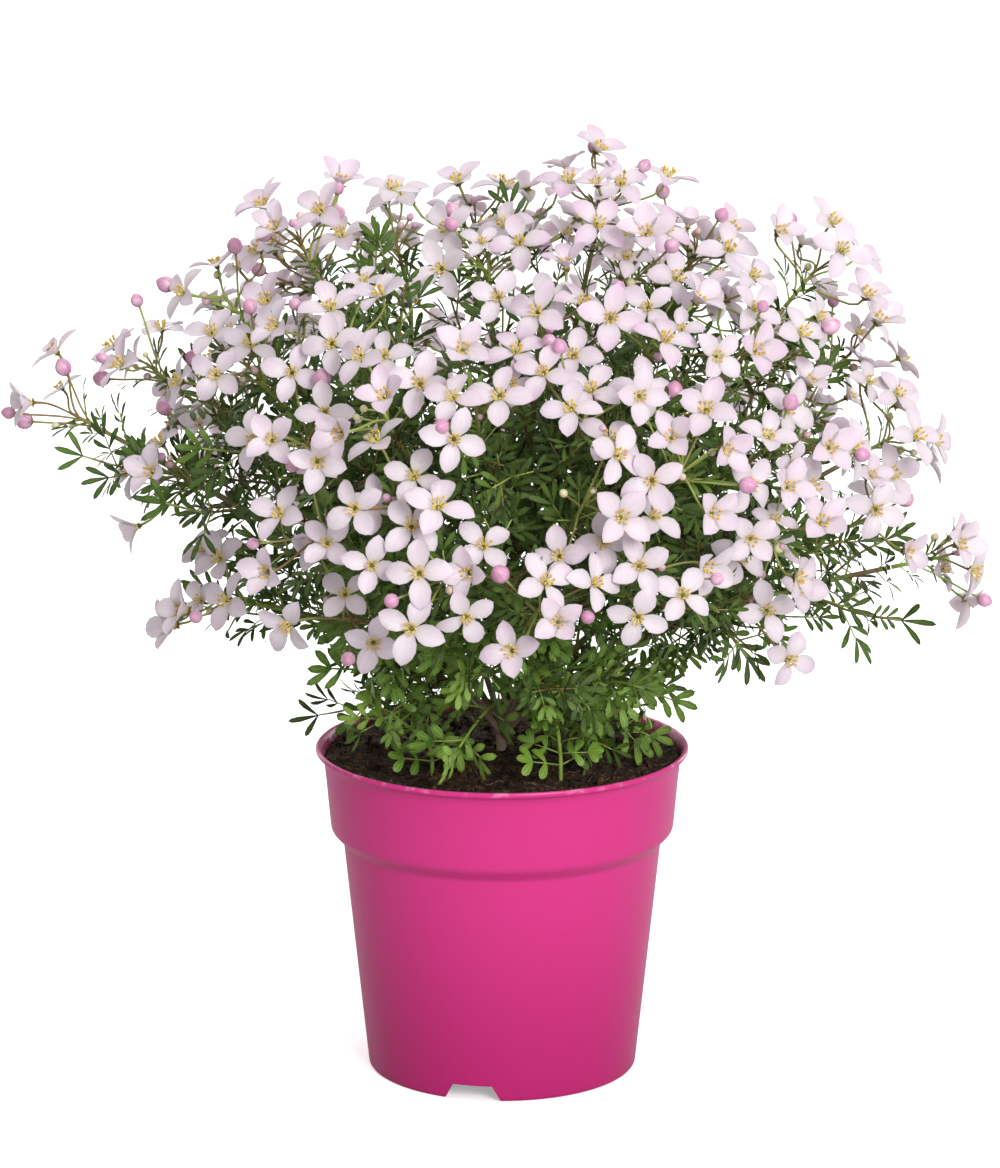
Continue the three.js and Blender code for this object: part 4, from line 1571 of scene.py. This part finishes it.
@dataclass
class Pot:
    """The moulded pot: tapering wall, stepped collar, rolled lip, raised floor and notched foot."""

    segments: int = 128
    notch_azimuth: float = -12.7
    notch_count: int = 3
    notch_foot: float = 21 * MM
    notch_top: float = 14 * MM
    notch_height: float = 5.6 * MM
    notch_depth: float = 15 * MM
    notch_reach: float = 47 * MM
    drain_radius: float = 4 * MM
    drain_reach: float = 34 * MM
    floor_z: float = 7.1 * MM
    crease: float = 34

    # Radius and height of each ring in millimetres, from the floor's underside round the wall to the floor
    PROFILE = (
        (44.1, 6.5), (44.1, 0.4), (44.4, 0.0), (46.1, 0.0), (46.7, 0.2), (47.05, 0.7), (47.2, 1.6), (48.2, 11.0),
        (50.0, 28.0), (52.0, 47.0), (54.0, 66.0), (55.5, 80.5), (55.6, 81.2), (55.85, 81.8), (56.6, 82.6),
        (58.9, 85.0), (59.5, 85.7), (59.85, 86.5), (60.0, 87.6), (60.6, 94.0), (61.4, 103.0), (62.1, 109.6),
        (62.5, 111.2), (63.2, 112.4), (64.1, 113.0), (64.75, 113.3), (65.0, 113.8), (64.95, 114.5), (64.65, 114.9),
        (64.15, 115.0), (63.65, 114.85), (63.15, 114.3), (62.5, 113.0), (61.8, 110.5), (60.9, 107.0),
        (59.3, 95.0), (58.6, 87.9), (58.3, 86.9), (55.0, 83.2), (54.4, 82.2), (54.1, 80.6), (52.4, 64.0),
        (50.0, 41.0), (47.4, 17.0), (46.5, 8.8), (45.9, 7.9), (45.0, 7.8),
    )

    def build(self) -> Piece:
        """Models and dresses the pot.

        Returns:
            The pot.
        """
        piece = Bench.turned("pot_shell", [(r * MM, z * MM) for r, z in self.PROFILE], self.segments)
        for k in range(self.notch_count):
            azimuth = math.radians(self.notch_azimuth + 360 * k / self.notch_count)
            for cutter in (self.notch_cutter(azimuth), self.drain_cutter(azimuth)):
                Bench.apply(piece, "BOOLEAN", operation="DIFFERENCE", solver="EXACT", object=cutter)
                bpy.data.objects.remove(cutter)
        Bench.close(piece, 1e-6)
        Bench.smooth(piece, self.crease)
        Bench.dress(piece, POT_FINISH)
        Bench.ride(piece, "pot", "pot")
        return piece

    def notch_cutter(self, azimuth: float) -> Piece:
        """The tapered block that a drain notch is cut with."""
        Bench.clear()
        bpy.ops.mesh.primitive_cube_add(size=1, location=(0, 0, 0))
        cutter = Bench.take("notch_cutter")
        for vertex in cutter.data.vertices:
            is_top = vertex.co.z > 0
            width = self.notch_top if is_top else self.notch_foot
            vertex.co.x = math.copysign(width / 2, vertex.co.x)
            vertex.co.y = -self.notch_reach + math.copysign(self.notch_depth / 2, vertex.co.y)
            vertex.co.z = self.notch_height if is_top else -1 * MM
        cutter.data.transform(Matrix.Rotation(azimuth, 4, "Z"))
        return cutter

    def drain_cutter(self, azimuth: float) -> Piece:
        """The round bar that a drain hole is cut with."""
        Bench.clear()
        middle = (self.drain_reach * math.sin(azimuth), -self.drain_reach * math.cos(azimuth), self.floor_z)
        bpy.ops.mesh.primitive_cylinder_add(vertices=24, radius=self.drain_radius, depth=6 * MM, location=middle)
        cutter = Bench.take("drain_cutter")
        Bench.settle_place(cutter)
        return cutter


@dataclass
class PeatBed:
    """The compost: a rough surface with crumbs and fibres, and the filling under it."""

    segments: int = 112
    top: float = 111 * MM
    crumb_count: int = 900
    fibre_count: int = 110
    edge_radius: float = 61.0 * MM

    # Radius and height of the rings under the surface, and the radii of the outer rings on it, in millimetres
    SKIN = (
        (45.0, 8.2), (45.6, 8.4), (46.1, 12.0), (53.8, 81.9), (57.9, 87.4), (60.5, 106.6), (61.4, 109.8), (61.6, 110.5)
    )
    OUTER_RINGS = (61.6, 60.8, 59.6, 58.2, 56.6)
    INNER_RINGS = 34
    INNER_START, INNER_STEP = 55, 1.6
    # Heights in millimetres: the swell, the mound at the trunk, the bank at the wall and at the back, the grit
    SWELL, MOUND, BANK, BACK_BANK, GRIT = 0.8, 1.5, 0.9, 1.2, 1.3
    MOUND_SPREAD = 300
    BANK_POWER = 6
    CREASE = 50
    CRUMB_SEED, FIBRE_SEED = 41, 43
    EDGE_SHARE = 0.985

    def height(self, x: float, y: float) -> float:
        """The uneven surface's height at a place."""
        a, b = x / MM, y / MM
        swell = math.sin(0.13 * a + 0.8) * math.cos(0.11 * b - 0.5) + 0.6 * math.sin(0.21 * a - 0.17 * b)
        mound = self.MOUND * math.exp(-(a * a + b * b) / self.MOUND_SPREAD)
        banked = (self.BANK + self.BACK_BANK * max(0.0, b / 60)) * (math.hypot(a, b) / 61) ** self.BANK_POWER
        rough = noise.fractal(Vector((a, b, 0)) * 0.3, 0.8, 2.0, 5) * self.GRIT
        return (self.top / MM + self.SWELL * swell + mound + banked + rough) * MM

    def build(self) -> Piece:
        """Models and dresses the compost.

        Returns:
            The compost.
        """
        rings = [*self.OUTER_RINGS, *(self.INNER_START - self.INNER_STEP * k for k in range(self.INNER_RINGS))]
        profile = [*self.SKIN, *((radius, self.top / MM) for radius in rings)]
        bed = Bench.turned("peat_bed", [(r * MM, z * MM) for r, z in profile], self.segments)
        for vertex in bed.data.vertices:
            if vertex.co.z > self.top - 0.1 * MM:
                vertex.co.z = self.height(vertex.co.x, vertex.co.y)
        Bench.tint(bed.data, 0.0)
        Bench.smooth(bed, self.CREASE)
        Bench.dress(bed, PEAT_FINISH)
        piece = Bench.join("peat_bed", [bed, *self.crumbs(), self.fibres()])
        Bench.ride(piece, "compost", "compost")
        return piece

    def spot(self, draw: Draws) -> tuple[float, float]:
        """A place on the surface."""
        reach = self.edge_radius * math.sqrt(draw()) * self.EDGE_SHARE
        turn = math.tau * draw()
        return reach * math.cos(turn), reach * math.sin(turn)

    def crumbs(self) -> list[Piece]:
        """Loose crumbs, from grains to small lumps.

        Returns:
            The crumbs.
        """
        Bench.clear()
        bpy.ops.mesh.primitive_ico_sphere_add(subdivisions=1, radius=MM, location=(0, 0, 0))
        lump = Bench.take("crumb")
        for vertex in lump.data.vertices:
            vertex.co *= 1 + 0.5 * noise.noise(vertex.co * 900)
        Bench.dress(lump, PEAT_FINISH)
        pattern = Bench.keep_mesh(lump)
        draw = Draws(self.CRUMB_SEED)
        crumbs = []
        for _ in range(self.crumb_count):
            x, y = self.spot(draw)
            size = 0.4 + 1.5 * draw() ** 3
            place = Matrix.Translation((x, y, self.height(x, y) + 0.25 * size * MM))
            turn = Matrix.Rotation(math.tau * draw(), 4, Vector((draw() - 0.5, draw() - 0.5, 0.6)))
            scale = Matrix.Diagonal((size * draw.between(0.7, 1.5), size, size * draw.between(0.6, 1.0), 1))
            crumbs.append(Bench.copy_of(pattern, place @ turn @ scale, draw()))
        bpy.data.meshes.remove(pattern)
        return crumbs

    def fibres(self) -> Piece:
        """Thin fibres that lie on the crumbs.

        Returns:
            The fibres.
        """
        draw = Draws(self.FIBRE_SEED)
        routes = []
        for _ in range(self.fibre_count):
            x, y = self.spot(draw)
            turn, bend = math.tau * draw(), draw.between(-0.7, 0.7)
            length = draw.between(2, 7) * MM
            radius = draw.between(0.06, 0.13) * MM
            route = []
            for k in range(5):
                share = k / 4 - 0.5
                angle = turn + bend * share
                px, py = x + length * share * math.cos(angle), y + length * share * math.sin(angle)
                if math.hypot(px, py) > self.edge_radius:
                    continue
                lift = 0.3 + 0.9 * math.sin(math.pi * (k + 0.5) / 5) * draw()
                route.append((Vector((px, py, self.height(px, py) + lift * MM)), radius))
            if len(route) > 2:
                routes.append(route)
        piece = Bench.tubes("fibres", routes, 0)
        Bench.dress(piece, FIBRE_FINISH)
        return piece


@dataclass
class WoodyBase:
    """The short trunk in the compost and the limbs that fan from it."""

    trunk_foot: float = 88 * MM
    trunk_radius: float = 1.6 * MM
    crown_radius: float = 1.5 * MM
    limb_radius: float = 1.3 * MM
    trunk_steps: int = 8
    top_gap: float = 1.5 * MM
    sway: float = 0.7 * MM
    flare: float = 0.5 * MM
    flare_z: float = 112 * MM
    flare_reach: float = 3 * MM

    def build(self, layout: Layout) -> Piece:
        """Models and dresses the trunk and limbs.

        Args:
            layout: where the limbs go.

        Returns:
            The woody base.
        """
        trunk: Route = []
        for k in range(self.trunk_steps + 1):
            share = k / self.trunk_steps
            z = self.trunk_foot + (Stem.CROWN_TOP.z + self.top_gap - self.trunk_foot) * share
            sway = self.sway * math.sin(5 * share)
            flare = self.flare * math.exp(-((z - self.flare_z) / self.flare_reach) ** 2)
            taper = self.trunk_radius + (self.crown_radius - self.trunk_radius) * share
            trunk.append((Vector((sway, -sway / 2, z)), taper + flare))
        routes = [trunk]
        for stem in layout.stems:
            fork = Stem.CROWN + UP * (stem.number % 4 - 3.5) * MM
            limb = Sweep(fork, (stem.way + UP * 0.6).normalized(), stem.limb_end, stem.way)
            routes.append(limb.route(6, self.limb_radius, self.limb_radius * 0.8))
        piece = Bench.tubes("trunk_and_limbs", routes, 3)
        Bench.dress(piece, BARK_FINISH)
        Bench.ride(piece, "bark", "woody_base")
        return piece


@dataclass(frozen=True)
class Growth:
    """How one order of stems grows: its tube's steps and radii, and how its leaves are set."""

    steps: int
    foot_radius: float
    tip_radius: float
    bare: float
    spacing: float
    has_tip: bool = False


@dataclass
class LeafyStem:
    """A green stem with its twigs, its side twigs and its divided leaves."""

    MAIN = Growth(16, 1.3 * MM, 0.85 * MM, 0.06, 10.5 * MM)
    TWIG = Growth(12, 1.0 * MM, 0.75 * MM, 0.12, 10.5 * MM)
    SIDE = Growth(6, 0.55 * MM, 0.33 * MM, 0.2, 9.0 * MM, True)
    LOW = Growth(7, 0.715 * MM, 0.44 * MM, 0.25, 9.0 * MM, True)
    KINDS = (LeafKind.THREE, LeafKind.FIVE, LeafKind.FIVE, LeafKind.SEVEN)
    FIRST_SEED = 700

    # Where side twigs sit on their host, as shares of its length, and how long they are in millimetres
    SIDE_START, SIDE_RUN = 0.08, 0.78
    SIDE_LENGTH = (22, 38)
    # The turn between low twigs, and where they start, how far they reach and how high they end in millimetres
    LOW_FAN = 0.9
    LOW_ROOT, LOW_REACH, LOW_HEIGHT = (4, 20), (26, 64), (121, 150)

    kit: LeafKit
    side_count: int = 9
    twig_side_count: int = 4
    leaf_rise: float = 0.75
    leaf_length: float = 21 * MM
    low_count: int = 2
    fresh_z: float = 185 * MM
    fresh_reach: float = 62 * MM
    fresh_y: float = 15 * MM
    fresh_share: float = 0.7

    def build(self, stem: Stem) -> Piece:
        """Models and dresses one stem.

        Args:
            stem: the stem's layout.

        Returns:
            The stem with its leaves.
        """
        draw = Draws(self.FIRST_SEED + stem.number)
        name = f"stem_{stem.number + 1:02d}"
        routes: list[Route] = []
        low_routes: list[Route] = []
        leaves = self.grow(stem.main, self.MAIN, routes, draw)
        for twig in stem.twigs:
            leaves += self.grow(twig, self.TWIG, routes, draw)
        for side in self.side_twigs(stem, draw):
            leaves += self.grow(side, self.SIDE, routes, draw)
        for low in self.low_twigs(stem, draw):
            leaves += self.grow(low, self.LOW, low_routes, draw)
        tubes = Bench.tubes(name, routes, 1)
        Bench.dress(tubes, STEM_FINISH)
        low_tubes = Bench.tubes("low_twigs", low_routes, 1)
        Bench.dress(low_tubes, SHOOT_FINISH)
        piece = Bench.join(name, [tubes, low_tubes, *leaves])
        Bench.ride(piece, "leaf", f"leafy_stem_{stem.number + 1:02d}")
        return piece

    def grow(self, curve: Sweep, growth: Growth, routes: list[Route], draw: Draws) -> list[Piece]:
        """Adds a curve's tube to the routes and sets leaves on it."""
        routes.append(curve.route(growth.steps, growth.foot_radius, growth.tip_radius))
        return self.leaves(curve, growth, draw)

    def side_twigs(self, stem: Stem, draw: Draws) -> Iterator[Sweep]:
        """Short side twigs that fill the bush between the long ones.

        Args:
            stem: the stem's layout.
            draw: the stem's draws.

        Yields:
            The curve of each side twig.
        """
        for host in [stem.main, *stem.twigs]:
            count = self.side_count if host is stem.main else self.twig_side_count
            for k in range(count):
                t = host.at_share(self.SIDE_START + self.SIDE_RUN * (k + 0.5) / count)
                origin, along = host.point(t), host.way(t)
                turn = GOLDEN_ANGLE * k * 2 + 6 * draw()
                side = side_way(along, turn)
                way = (along * 0.9 + side + UP * 0.15).normalized()
                length = draw.between(*self.SIDE_LENGTH) * MM
                end_way = (way + along * 0.5).normalized()
                yield Sweep(origin, way, origin + way * length, end_way)

    def low_twigs(self, stem: Stem, draw: Draws) -> Iterator[Sweep]:
        """Leafy twigs from the limb that hang out over the soil and the rim.

        Args:
            stem: the stem's layout.
            draw: the stem's draws.

        Yields:
            The curve of each low twig.
        """
        middle = math.atan2(stem.way.y, stem.way.x)
        for k in range(self.low_count):
            turn = middle + self.LOW_FAN * (k - (self.low_count - 1) / 2) + draw.between(-0.25, 0.25)
            out = Vector((math.cos(turn), math.sin(turn), 0))
            origin = Stem.CROWN + stem.way * draw.between(*self.LOW_ROOT) * MM
            end = out * draw.between(*self.LOW_REACH) * MM + UP * draw.between(*self.LOW_HEIGHT) * MM
            yield Sweep(origin, (out + UP * 0.9).normalized(), end, (out - UP * 0.25).normalized())

    def leaves(self, curve: Sweep, growth: Growth, draw: Draws) -> list[Piece]:
        """Opposite pairs of leaves along a curve, each pair turned a quarter from the last.

        Args:
            curve: the stem or twig.
            growth: how the leaves are set.
            draw: the stem's draws.

        Returns:
            The leaves.
        """
        made = []
        start = growth.bare
        count = max(1, round(curve.length * (1 - start) / growth.spacing))
        first_turn = math.tau * draw()
        for k in range(count):
            share = start + (1 - start) * (k + 0.5) / count
            t = curve.at_share(share)
            root, along = curve.point(t), curve.way(t)
            for half in (0, 1):
                turn = first_turn + math.pi / 2 * k + math.pi * half + draw.between(-0.35, 0.35)
                side = side_way(along, turn)
                way = (along * (self.leaf_rise + draw.between(-0.25, 0.25)) + side).normalized()
                made.append(self.leaf(root, way, along, draw))
        if growth.has_tip:
            tip_way = curve.way(1)
            made.append(self.leaf(curve.point(1), tip_way, frame_along(root, tip_way).col[0].xyz, draw))
        return made

    def leaf(self, root: Vector, way: Vector, up: Vector, draw: Draws) -> Piece:
        """One leaf: fresh green low in the middle of the bush, dark elsewhere."""
        kind = self.KINDS[int(len(self.KINDS) * draw() * 0.9999)]
        length = self.leaf_length * draw.between(0.72, 1.12)
        is_low = root.z < self.fresh_z and math.hypot(root.x, root.y + self.fresh_y) < self.fresh_reach
        if is_low and draw() < self.fresh_share:
            kind = LeafKind.FRESH
        return self.kit.place(kind, root, way, up, length, draw() ** 3)


@dataclass
class FlowerSpray:
    """A stalk with the fine stalks, blooms and buds that spread at its end."""

    FIRST_SEED = 1500
    # Sizes of inner blooms, and millimetres: their drop, the buds' radii and the young buds' stalks
    INNER_SIZE = (0.72, 0.92)
    INNER_DROP = (3, 11)
    BUD_RADIUS = (2.1, 3.2)
    YOUNG_RADIUS = (0.9, 1.7)
    YOUNG_STALK = (7, 14)
    LEAF_LENGTH = 17 * MM

    blooms: BloomKit
    leaves: LeafKit
    stalk_radius: float = 0.8 * MM
    fine_radius: float = 0.4 * MM
    neck_radius: float = 0.55 * MM
    neck_drop: float = 1.0 * MM
    inner_tries: int = 30
    inner_blooms: int = 1
    back_blooms: int = 10
    back_reach: float = 1.35
    back_y: float = 50 * MM
    inner_room: float = 11.5 * MM
    inner_z: float = 262 * MM
    inner_x: float = 85 * MM
    pink_z: float = 230 * MM
    pink_run: float = 70 * MM

    def build(self, spray: Spray) -> Piece:
        """Models and dresses one spray.

        Args:
            spray: the spray's layout.

        Returns:
            The spray.
        """
        draw = Draws(self.FIRST_SEED + spray.number)
        name = f"spray_{spray.number + 1:02d}"
        top = spray.root + spray.out * spray.STALK_LENGTH
        routes = [[(spray.root, self.stalk_radius), (top, self.stalk_radius * 0.7)]]
        parts = []
        for route, part in self.stalked(spray, draw):
            routes.append(route)
            parts.append(part)
        parts += self.stalk_leaves(spray, draw)
        tubes = Bench.tubes(name, routes, 1)
        Bench.dress(tubes, STALK_FINISH)
        piece = Bench.join(name, [tubes, *parts])
        Bench.ride(piece, "petal", f"flower_spray_{spray.number + 1:02d}")
        return piece

    def stalked(self, spray: Spray, draw: Draws) -> Iterator[tuple[Route, Piece]]:
        """Every bloom and bud of a spray on its own stalk.

        Args:
            spray: the spray's layout.
            draw: the spray's draws.

        Yields:
            The stalk's route and the bloom or bud.
        """
        for head in spray.heads:
            yield self.bud(spray, head, draw) if head.is_bud else self.bloom(spray, head, draw)
        for head in self.inner_heads(spray, draw):
            yield self.bloom(spray, head, draw)
        for k in range(2 + spray.number % 3):
            yield self.young_bud(spray, k, draw)

    def inner_heads(self, spray: Spray, draw: Draws) -> list[Head]:
        """Smaller blooms that fill the gaps of the spray a little further in.

        Args:
            spray: the spray's layout.
            draw: the spray's draws.

        Returns:
            The inner blooms.
        """
        across = frame_along(spray.middle, spray.out)
        is_back = spray.middle.y > self.back_y
        wanted = self.back_blooms if is_back else self.inner_blooms
        spread = spray.spread * (self.back_reach if is_back else 1)
        taken = [head.place for head in spray.heads]
        made: list[Head] = []
        for _ in range(self.inner_tries):
            reach, turn = spread * math.sqrt(draw()), math.tau * draw()
            drop = draw.between(*self.INNER_DROP) * MM
            place = across @ Vector((reach * math.cos(turn), reach * math.sin(turn), -drop))
            tilt = draw.tilt()
            size, spin = draw.between(*self.INNER_SIZE), math.tau * draw()
            is_open = spray.middle.z > self.inner_z or abs(spray.middle.x) > self.inner_x or is_back
            if is_open and len(made) < wanted and all((place - other).length > self.inner_room for other in taken):
                made.append(Head(False, place, tilt, size, spin, len(made)))
                taken.append(place)
        return made

    def bloom(self, spray: Spray, head: Head, draw: Draws) -> tuple[Route, Piece]:
        """A bloom and its fine stalk."""
        way = spray.head_way(head)
        root = spray.head_root(head)
        neck = head.place - way * self.neck_drop
        leave = (spray.out + (neck - root).normalized()).normalized()
        stalk = Sweep(root, leave, neck, way)
        route = stalk.route(7, self.fine_radius, self.fine_radius)
        route[-2] = (route[-2][0], self.fine_radius * 1.15)
        route[-1] = (route[-1][0], self.neck_radius)
        matrix = frame_along(head.place, way, head.spin) @ Matrix.Scale(head.size, 4)
        pink = min(1.0, max(0.0, (head.place.z - self.pink_z) / self.pink_run))
        kind = int(len(self.blooms.LIFTS) * draw())
        return route, self.blooms.place_bloom(kind, matrix, 0.6 * draw() + 0.5 * pink * draw())

    def bud(self, spray: Spray, head: Head, draw: Draws) -> tuple[Route, Piece]:
        """A pink bud and its fine stalk."""
        radius = draw.between(*self.BUD_RADIUS) * head.size
        return self.any_bud(spray.head_root(head), head.place, spray, radius, draw.between(0.45, 1.0))

    def young_bud(self, spray: Spray, k: int, draw: Draws) -> tuple[Route, Piece]:
        """A small pale bud low in the spray."""
        turn = GOLDEN_ANGLE * k + math.tau * draw()
        root = spray.root + spray.out * spray.STALK_LENGTH * draw.between(0.4, 0.95)
        side = side_way(spray.out, turn)
        place = root + (spray.out + side * draw.between(0.5, 1.1)).normalized() * draw.between(*self.YOUNG_STALK) * MM
        return self.any_bud(root, place, spray, draw.between(*self.YOUNG_RADIUS), draw.between(0.0, 0.4))

    def any_bud(
        self, root: Vector, place: Vector, spray: Spray, radius: float, tint: float
    ) -> tuple[Route, Piece]:
        """A bud of a radius in millimetres and its stalk.

        Args:
            root, place: the stalk's foot and the bud's middle.
            spray: the spray's layout.
            radius: the bud's radius.
            tint: how pink it is.

        Returns:
            The stalk's route and the bud.
        """
        way = (place - root).normalized()
        foot = place - way * radius * MM
        leave = (spray.out + way).normalized()
        route = Sweep(root, leave, foot, way).route(5, self.fine_radius * 0.9, self.fine_radius)
        matrix = frame_along(place, way) @ Matrix.Scale(radius, 4)
        return route, self.blooms.place_bud(matrix, tint)

    def stalk_leaves(self, spray: Spray, draw: Draws) -> list[Piece]:
        """Two pairs of leaves on the stalk."""
        made = []
        for k in range(4):
            root = spray.root + spray.out * spray.STALK_LENGTH * (0.15 if k < 2 else 0.6)
            turn = math.pi * k + (math.pi / 2 if k > 1 else 0) + draw()
            side = side_way(spray.out, turn)
            way = (spray.out * 0.8 + side).normalized()
            length = self.LEAF_LENGTH * draw.between(0.7, 1.1)
            made.append(self.leaves.place(LeafKind.FIVE, root, way, spray.out, length, 0.2 + 0.8 * draw()))
        return made


@dataclass
class LowShoot:
    """A thin young shoot with broad leaflets that stands in the compost by itself."""

    # x, y of the foot, lean in x and y, height in millimetres, leaves
    ROWS = ((20, -32, -6, -9, 42, 10), (-24, -27, -14, -13, 26, 6))

    kit: LeafKit
    radius: float = 0.75 * MM
    depth: float = 12 * MM
    soil: float = 111 * MM
    collar: float = 5 * MM
    leaf_length: float = 18 * MM
    leaf_shorter: float = 4 * MM

    LEAF_UP = Vector((0, -0.75, 0.65))
    FIRST_SEED = 1900

    def build(self, number: int) -> Piece:
        """Models and dresses one shoot.

        Args:
            number: the shoot's row.

        Returns:
            The shoot.
        """
        x, y, lean_x, lean_y, height, count = self.ROWS[number]
        foot = Vector((x * MM, y * MM, self.soil - self.depth))
        collar = Vector((x * MM, y * MM, self.soil + self.collar))
        tip = Vector(((x + lean_x) * MM, (y + lean_y) * MM, self.soil + height * MM))
        curve = Sweep(collar, UP, tip, (tip - collar).normalized())
        route = [(foot, self.radius)] + curve.route(10, self.radius, self.radius * 0.6)
        draw = Draws(self.FIRST_SEED + number)
        name = f"shoot_{number + 1:02d}"
        leaves = []
        for k in range(count):
            share = 0.98 * k / (count - 1)
            t = curve.at_share(share)
            root = curve.point(t)
            for half in (0, 1):
                turn = GOLDEN_ANGLE * k + 0.6 + math.pi * half
                way = Vector((math.cos(turn), math.sin(turn), draw.between(-0.1, 0.3) + 0.6 * share)).normalized()
                length = (self.leaf_length - self.leaf_shorter * share) * draw.between(0.85, 1.1)
                leaves.append(self.kit.place(LeafKind.BROAD, root, way, self.LEAF_UP, length, draw()))
        tubes = Bench.tubes(name, [route], 1)
        Bench.dress(tubes, SHOOT_FINISH)
        piece = Bench.join(name, [tubes, *leaves])
        Bench.ride(piece, "shoot", f"low_shoot_{number + 1:02d}")
        return piece


# Studio: floor, lamps, sky and camera.


@dataclass(frozen=True)
class FloorPaint(Finish):
    """Matt pale floor that throws little light back up."""

    FIXED = {"Emission Strength": 0.35, "Roughness": 0.9, "Specular IOR Level": 0.1}

    pale: Colour = (0.97, 0.97, 0.97, 1.0)
    other: Colour = (0.95, 0.95, 0.95, 1.0)
    thrown: Colour = (0.45, 0.45, 0.45, 1.0)
    unlit: Colour = (0.0, 0.0, 0.0, 1.0)

    def wire(self, w: Wiring, shader: Any) -> None:
        """Wires a barely uneven white."""
        patches = mottle(w, self.place(w), 3.0, self.pale, self.other)
        seen = w.add("ShaderNodeLightPath").outputs["Is Camera Ray"]
        w.feed(shader["Base Color"], w.mix(seen, self.thrown, patches["Colour"]))
        w.feed(shader["Emission Color"], w.mix(seen, self.unlit, patches["Colour"]))


@dataclass(frozen=True)
class Lamp:
    """A soft lamp: its place, the height on the pot's axis that it looks at, its size and its watts."""

    place: tuple[float, float, float]
    aim: float
    width: float
    height: float
    watts: float


@dataclass
class Studio:
    """Plain pale floor, soft lights and the camera."""

    camera_place: tuple[float, float, float] = (-0.00075, -1.5433, 0.5243)
    camera_pitch: float = 12.85
    lens: float = 140.95
    sensor: float = 36.0
    sky_low: float = 0.3
    sky_high: float = 1.0

    LAMPS = {
        "key": Lamp((0.8, -1.85, 1.0), 0.2, 0.9, 0.9, 42.0),
        "right_strip": Lamp((0.66, 0.85, 0.3), 0.1, 0.14, 0.8, 3.0),
        "back_fill": Lamp((-0.5, 2.1, 1.3), 0.2, 1.1, 1.1, 14.0),
        "left_strip": Lamp((-0.62, 0.85, 0.3), 0.1, 0.1, 0.8, 1.4),
    }

    def build(self) -> None:
        """Sets up floor, lights, world and camera."""
        scene = bpy.context.scene
        scene.view_settings.view_transform = "Standard"
        self.floor()
        self.world(scene)
        for name, lamp in self.LAMPS.items():
            self.hang(name, lamp)
        camera = bpy.data.cameras.new("camera")
        camera.sensor_fit = "VERTICAL"
        camera.sensor_height = self.sensor
        camera.lens = self.lens
        holder = bpy.data.objects.new("camera", camera)
        holder.location = self.camera_place
        holder.rotation_euler = (math.radians(90 - self.camera_pitch), 0, 0)
        scene.collection.objects.link(holder)
        scene.camera = holder

    def floor(self) -> None:
        """Lays the floor."""
        Bench.clear()
        bpy.ops.mesh.primitive_plane_add(size=40, location=(0, 0, 0))
        piece = Bench.take("floor")
        Bench.dress(piece, FloorPaint("floor_paint"))
        piece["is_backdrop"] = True

    def world(self, scene: bpy.types.Scene) -> None:
        """Lights the room from above most, and shows plain white behind the object."""
        world = bpy.data.worlds.new("room")
        world.use_nodes = True
        w = Wiring(world.node_tree)
        background = world.node_tree.nodes["Background"]
        background.inputs["Color"].default_value = (1, 1, 1, 1)
        _, _, z = w.split(w.add("ShaderNodeTexCoord").outputs["Generated"])
        sky = w.between(z, -0.1, 1.0, self.sky_low, self.sky_high)
        seen = w.add("ShaderNodeLightPath").outputs["Is Camera Ray"]
        w.feed(background.inputs["Strength"], w.math("MAXIMUM", seen, sky))
        scene.world = world

    def hang(self, name: str, lamp: Lamp) -> None:
        """Hangs one soft lamp."""
        light = bpy.data.lights.new(name, "AREA")
        light.shape = "RECTANGLE"
        light.size = lamp.width
        light.size_y = lamp.height
        light.energy = lamp.watts
        holder = bpy.data.objects.new(name, light)
        holder.location = lamp.place
        aim = Vector((0, 0, lamp.aim)) - Vector(lamp.place)
        holder.rotation_euler = aim.to_track_quat("-Z", "Y").to_euler()
        bpy.context.scene.collection.objects.link(holder)


def clear_patterns() -> None:
    """Drops the pattern meshes once every copy is made."""
    for mesh in [mesh for mesh in bpy.data.meshes if mesh.use_fake_user]:
        bpy.data.meshes.remove(mesh)


def main() -> None:
    """Builds the studio and every piece of the potted shrub."""
    logging.basicConfig(level=logging.INFO, format="%(name)s %(message)s")
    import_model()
    frame_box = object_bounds()
    Studio().build()
    layout = Layout()
    leaf_kit = LeafKit()
    leaf_kit.build()
    bloom_kit = BloomKit()
    bloom_kit.build()
    Pot().build()
    PeatBed().build()
    WoodyBase().build(layout)
    for number in range(len(LowShoot.ROWS)):
        LowShoot(leaf_kit).build(number)
    for stem in layout.stems:
        LeafyStem(leaf_kit).build(stem)
    for spray in layout.sprays:
        FlowerSpray(bloom_kit, leaf_kit).build(spray)
    clear_patterns()
    boxes = [[list(map(float, corner)) for corner in box] for box in (frame_box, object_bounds())]


if __name__ == "__main__":
    main()
